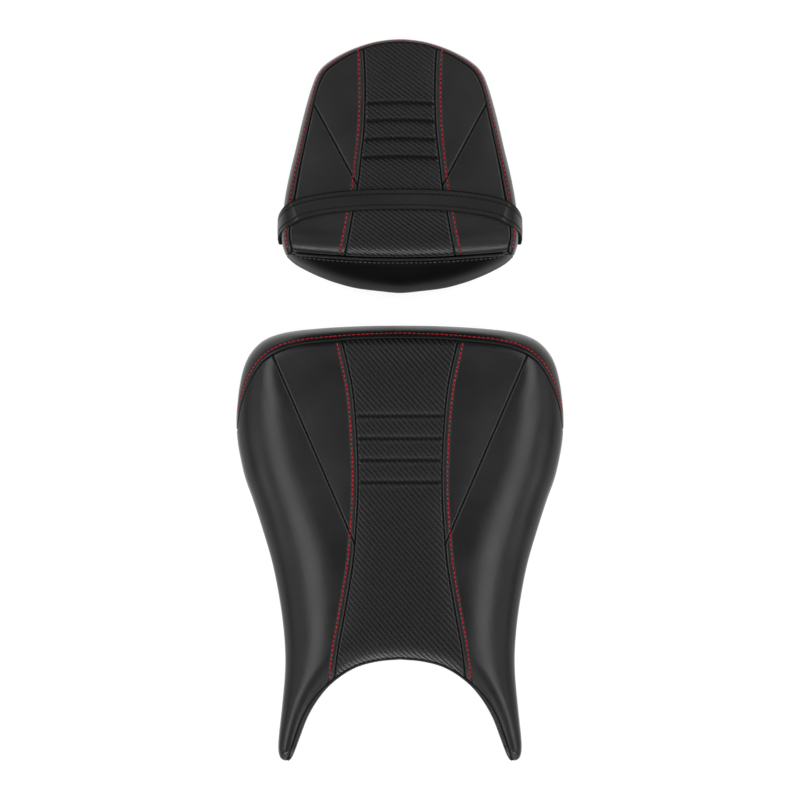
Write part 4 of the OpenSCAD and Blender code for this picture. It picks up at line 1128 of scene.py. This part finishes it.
def strap_half(name, side):
    w, h = section[:, 0], section[:, 1]
    ends = smooth_step((strap_run[-1] - strap_run) / 7)[:, None]  # the end is cut round
    narrow = 0.55 + 0.45 * np.sqrt(ends)
    ripple = 0.12 * np.cos(2 * math.pi * strap_run / STITCH_PITCH)[:, None] * np.exp(
        -((np.abs(w) - STRAP_W / 2 + 1.5) / 2.5) ** 2)
    g = (strap_points[:, None] + strap_sides[:, None] * (w * narrow)[..., None]
         + strap_ups[:, None] * (h + ripple)[..., None])
    if side == RIGHT:
        g = flipped(g)
    rows, cols = g.shape[:2]
    faces = grid_faces(rows, cols, side == LEFT, closed=True)
    last = (rows - 1) * cols
    cap = [last + k for k in range(cols)]
    faces.append(cap if side == LEFT else cap[::-1])
    # Painted shade in the grooves of the stitches, and painted shadow on both rounded edges, where the strap's
    # edge would cast its shadow
    painted_stitch_shadow = 0.9 * np.exp(-((np.abs(w) - STRAP_W / 2 + STRAP_STITCH_IN) / 0.6) ** 2) * (h > 0)
    edge_painted_shadow = smooth_step((np.abs(w) - STRAP_W / 2 + STRAP_T / 2 + 0.3) / 0.6)
    shade = np.tile(np.maximum(painted_stitch_shadow, edge_painted_shadow), (rows, 1))
    half = new_object(name, g.reshape(-1, 3), faces, STRAP, None, ["grab_strap", "strap_end_tabs"],
                      "strap_vinyl", shade=shade)
    return half


def strap_stitches(name, side):
    vertices, faces = [], []
    whole = strap_run[-1] - BEFORE_BOLT
    count = int(whole / STITCH_PITCH)
    at = (np.arange(count) + 0.5) / count * whole
    middle, up, across, ways = (read_at(at, strap_run, values) for values in (
        strap_points, strap_ups, strap_sides, np.gradient(strap_points, axis=0)))
    for row in (-1, 1):
        spots = middle + across * row * (STRAP_W / 2 - STRAP_STITCH_IN) + up * (STRAP_T / 2 - 0.3)
        threads(vertices, faces, spots, up, ways, 3.0, FINE_THREAD, 0.6)
    if side == RIGHT:
        vertices, faces = flipped(np.array(vertices)), [f[::-1] for f in faces]
    return new_object(name, vertices, faces, BLACK, None, (), "strap_vinyl")


for side, word in HANDS:
    for piece in (strap_half(f"grab_strap_{word}", side),
                  strap_stitches(f"grab_strap_stitches_{word}", side)):
        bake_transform(piece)

# ---- Foam ----


FOAM_CELL, FOAM_BACK = 0.005, 0.003  # in metres: its remeshing, and how far it stays under the covers


def cushion(seat):
    """The seat's foam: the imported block, rounded off and a little smaller, so that the covers lie over it."""
    obj = in_scene(f"{seat}_cushion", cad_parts[f"{seat}_foam"].data.copy())
    remesh = obj.modifiers.new("cells", "REMESH")
    remesh.mode, remesh.voxel_size = "VOXEL", FOAM_CELL
    mesh = bpy.data.meshes.new_from_object(obj.evaluated_get(bpy.context.evaluated_depsgraph_get()))
    obj.modifiers.clear()
    obj.data = mesh
    co, no = np.empty(len(mesh.vertices) * 3), np.empty(len(mesh.vertices) * 3)
    mesh.vertices.foreach_get("co", co)
    mesh.vertices.foreach_get("normal", no)
    co, no = co.reshape(-1, 3), no.reshape(-1, 3)
    floor_z = co[:, 2].min()
    co = co - no * FOAM_BACK
    co[:, 2] = np.maximum(co[:, 2], floor_z)
    mesh.vertices.foreach_set("co", co.ravel())
    mesh.materials.clear()
    mesh.materials.append(FOAM)
    smooth(mesh)
    ease = obj.modifiers.new("ease", "SMOOTH")
    ease.factor, ease.iterations = 0.5, 4
    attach(obj, f"{seat}_seat")
    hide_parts(f"{seat}_foam")


for seat in HEIGHTS:
    cushion(seat)

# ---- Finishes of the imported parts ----

for material, names in (
        (MOULDED, ("rider_base_pan", "pillion_base_pan", "pillion_front_hooks")),
        (RUBBER, ("rider_bumpers", "pillion_bumpers")),
        (COATED, ("rider_rear_tongue",)),
        (ZINC, ("rider_staples", "pillion_staples", "rider_bracket_left", "rider_bracket_right",
                "rider_weld_nuts", "rider_bracket_screws", "pillion_striker_plate", "pillion_striker",
                "pillion_striker_screws", "strap_washers", "strap_bolts"))):
    for name in names:
        for material_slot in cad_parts[name].material_slots:
            material_slot.material = material

# ---- Floor, lights and camera ----


AIM = (0, 0, 0.05)
FLOOR_TONE, FLOOR_GLOW = 0.2, 0.83


def area_light(name, location, size, power, target=AIM):
    data = bpy.data.lights.new(f"{name}_softbox", "AREA")
    data.shape, (data.size, data.size_y), data.energy = "RECTANGLE", size, power
    obj = in_scene(f"{name}_softbox", data)
    obj.location = location
    obj.rotation_euler = (Vector(target) - Vector(location)).to_track_quat("-Z", "Y").to_euler()


def make_floor():
    mesh = bpy.data.meshes.new("floor")
    mesh.from_pydata([(-5, -5, 0), (5, -5, 0), (5, 5, 0), (-5, 5, 0)], [], [(0, 1, 2, 3)])
    m = Nodes("pale_floor")
    m.link(m.bump(m.noise(300.0, 2.0), 0.05, 0.0002), "Normal")
    m.set(Base_Color=(FLOOR_TONE, FLOOR_TONE, FLOOR_TONE, 1), Roughness=0.9, Specular_IOR_Level=0.1,
          Emission_Color=(1, 1, 1, 1), Emission_Strength=FLOOR_GLOW)
    mesh.materials.append(m.material)
    in_scene("floor", mesh)


make_floor()
scene.world = bpy.data.worlds.new("studio")
scene.world.use_nodes = True
background = scene.world.node_tree.nodes["Background"].inputs
background[0].default_value, background[1].default_value = (1, 1, 1, 1), 0.02

# High side boxes put a soft line of light along the rolled sides, and low boxes all round fill the slopes.
for side, word in HANDS:
    area_light(f"{word}_high", (side * 1.22, 0, 1.87), (3.4, 0.85), 48)
    area_light(f"{word}_low", (side * 2.03, 0, 0.91), (2.4, 0.9), 9)
    area_light(f"{word}_corner", (side * 1.75, -1.3, 0.7), (0.35, 0.35), 4)
area_light("front_low", (0, -2.12, 0.62), (2.4, 0.45), 36)
area_light("front", (0, -1.73, 1.4), (2.0, 0.6), 3.5)
area_light("front_high", (0, -0.95, 2.05), (2.0, 0.5), 1.6)
area_light("rear", (0, 1.1, 1.95), (2.0, 0.45), 3)
area_light("top", (0, 0.3, 2.4), (0.8, 0.5), 1.7, (0, 0.25, 0))

CAMERA_HEIGHT, VIEW_WIDTH, SENSOR = 16.0, 0.8, 36  # the view is this wide just above the floor
VIEW_Z = 0.03
camera = in_scene("camera", bpy.data.cameras.new("camera"))
camera.location = (0, 0, CAMERA_HEIGHT)
camera.data.sensor_width = SENSOR
camera.data.lens = SENSOR * (CAMERA_HEIGHT - VIEW_Z) / VIEW_WIDTH
scene.camera = camera
scene.view_settings.view_transform = "Standard"
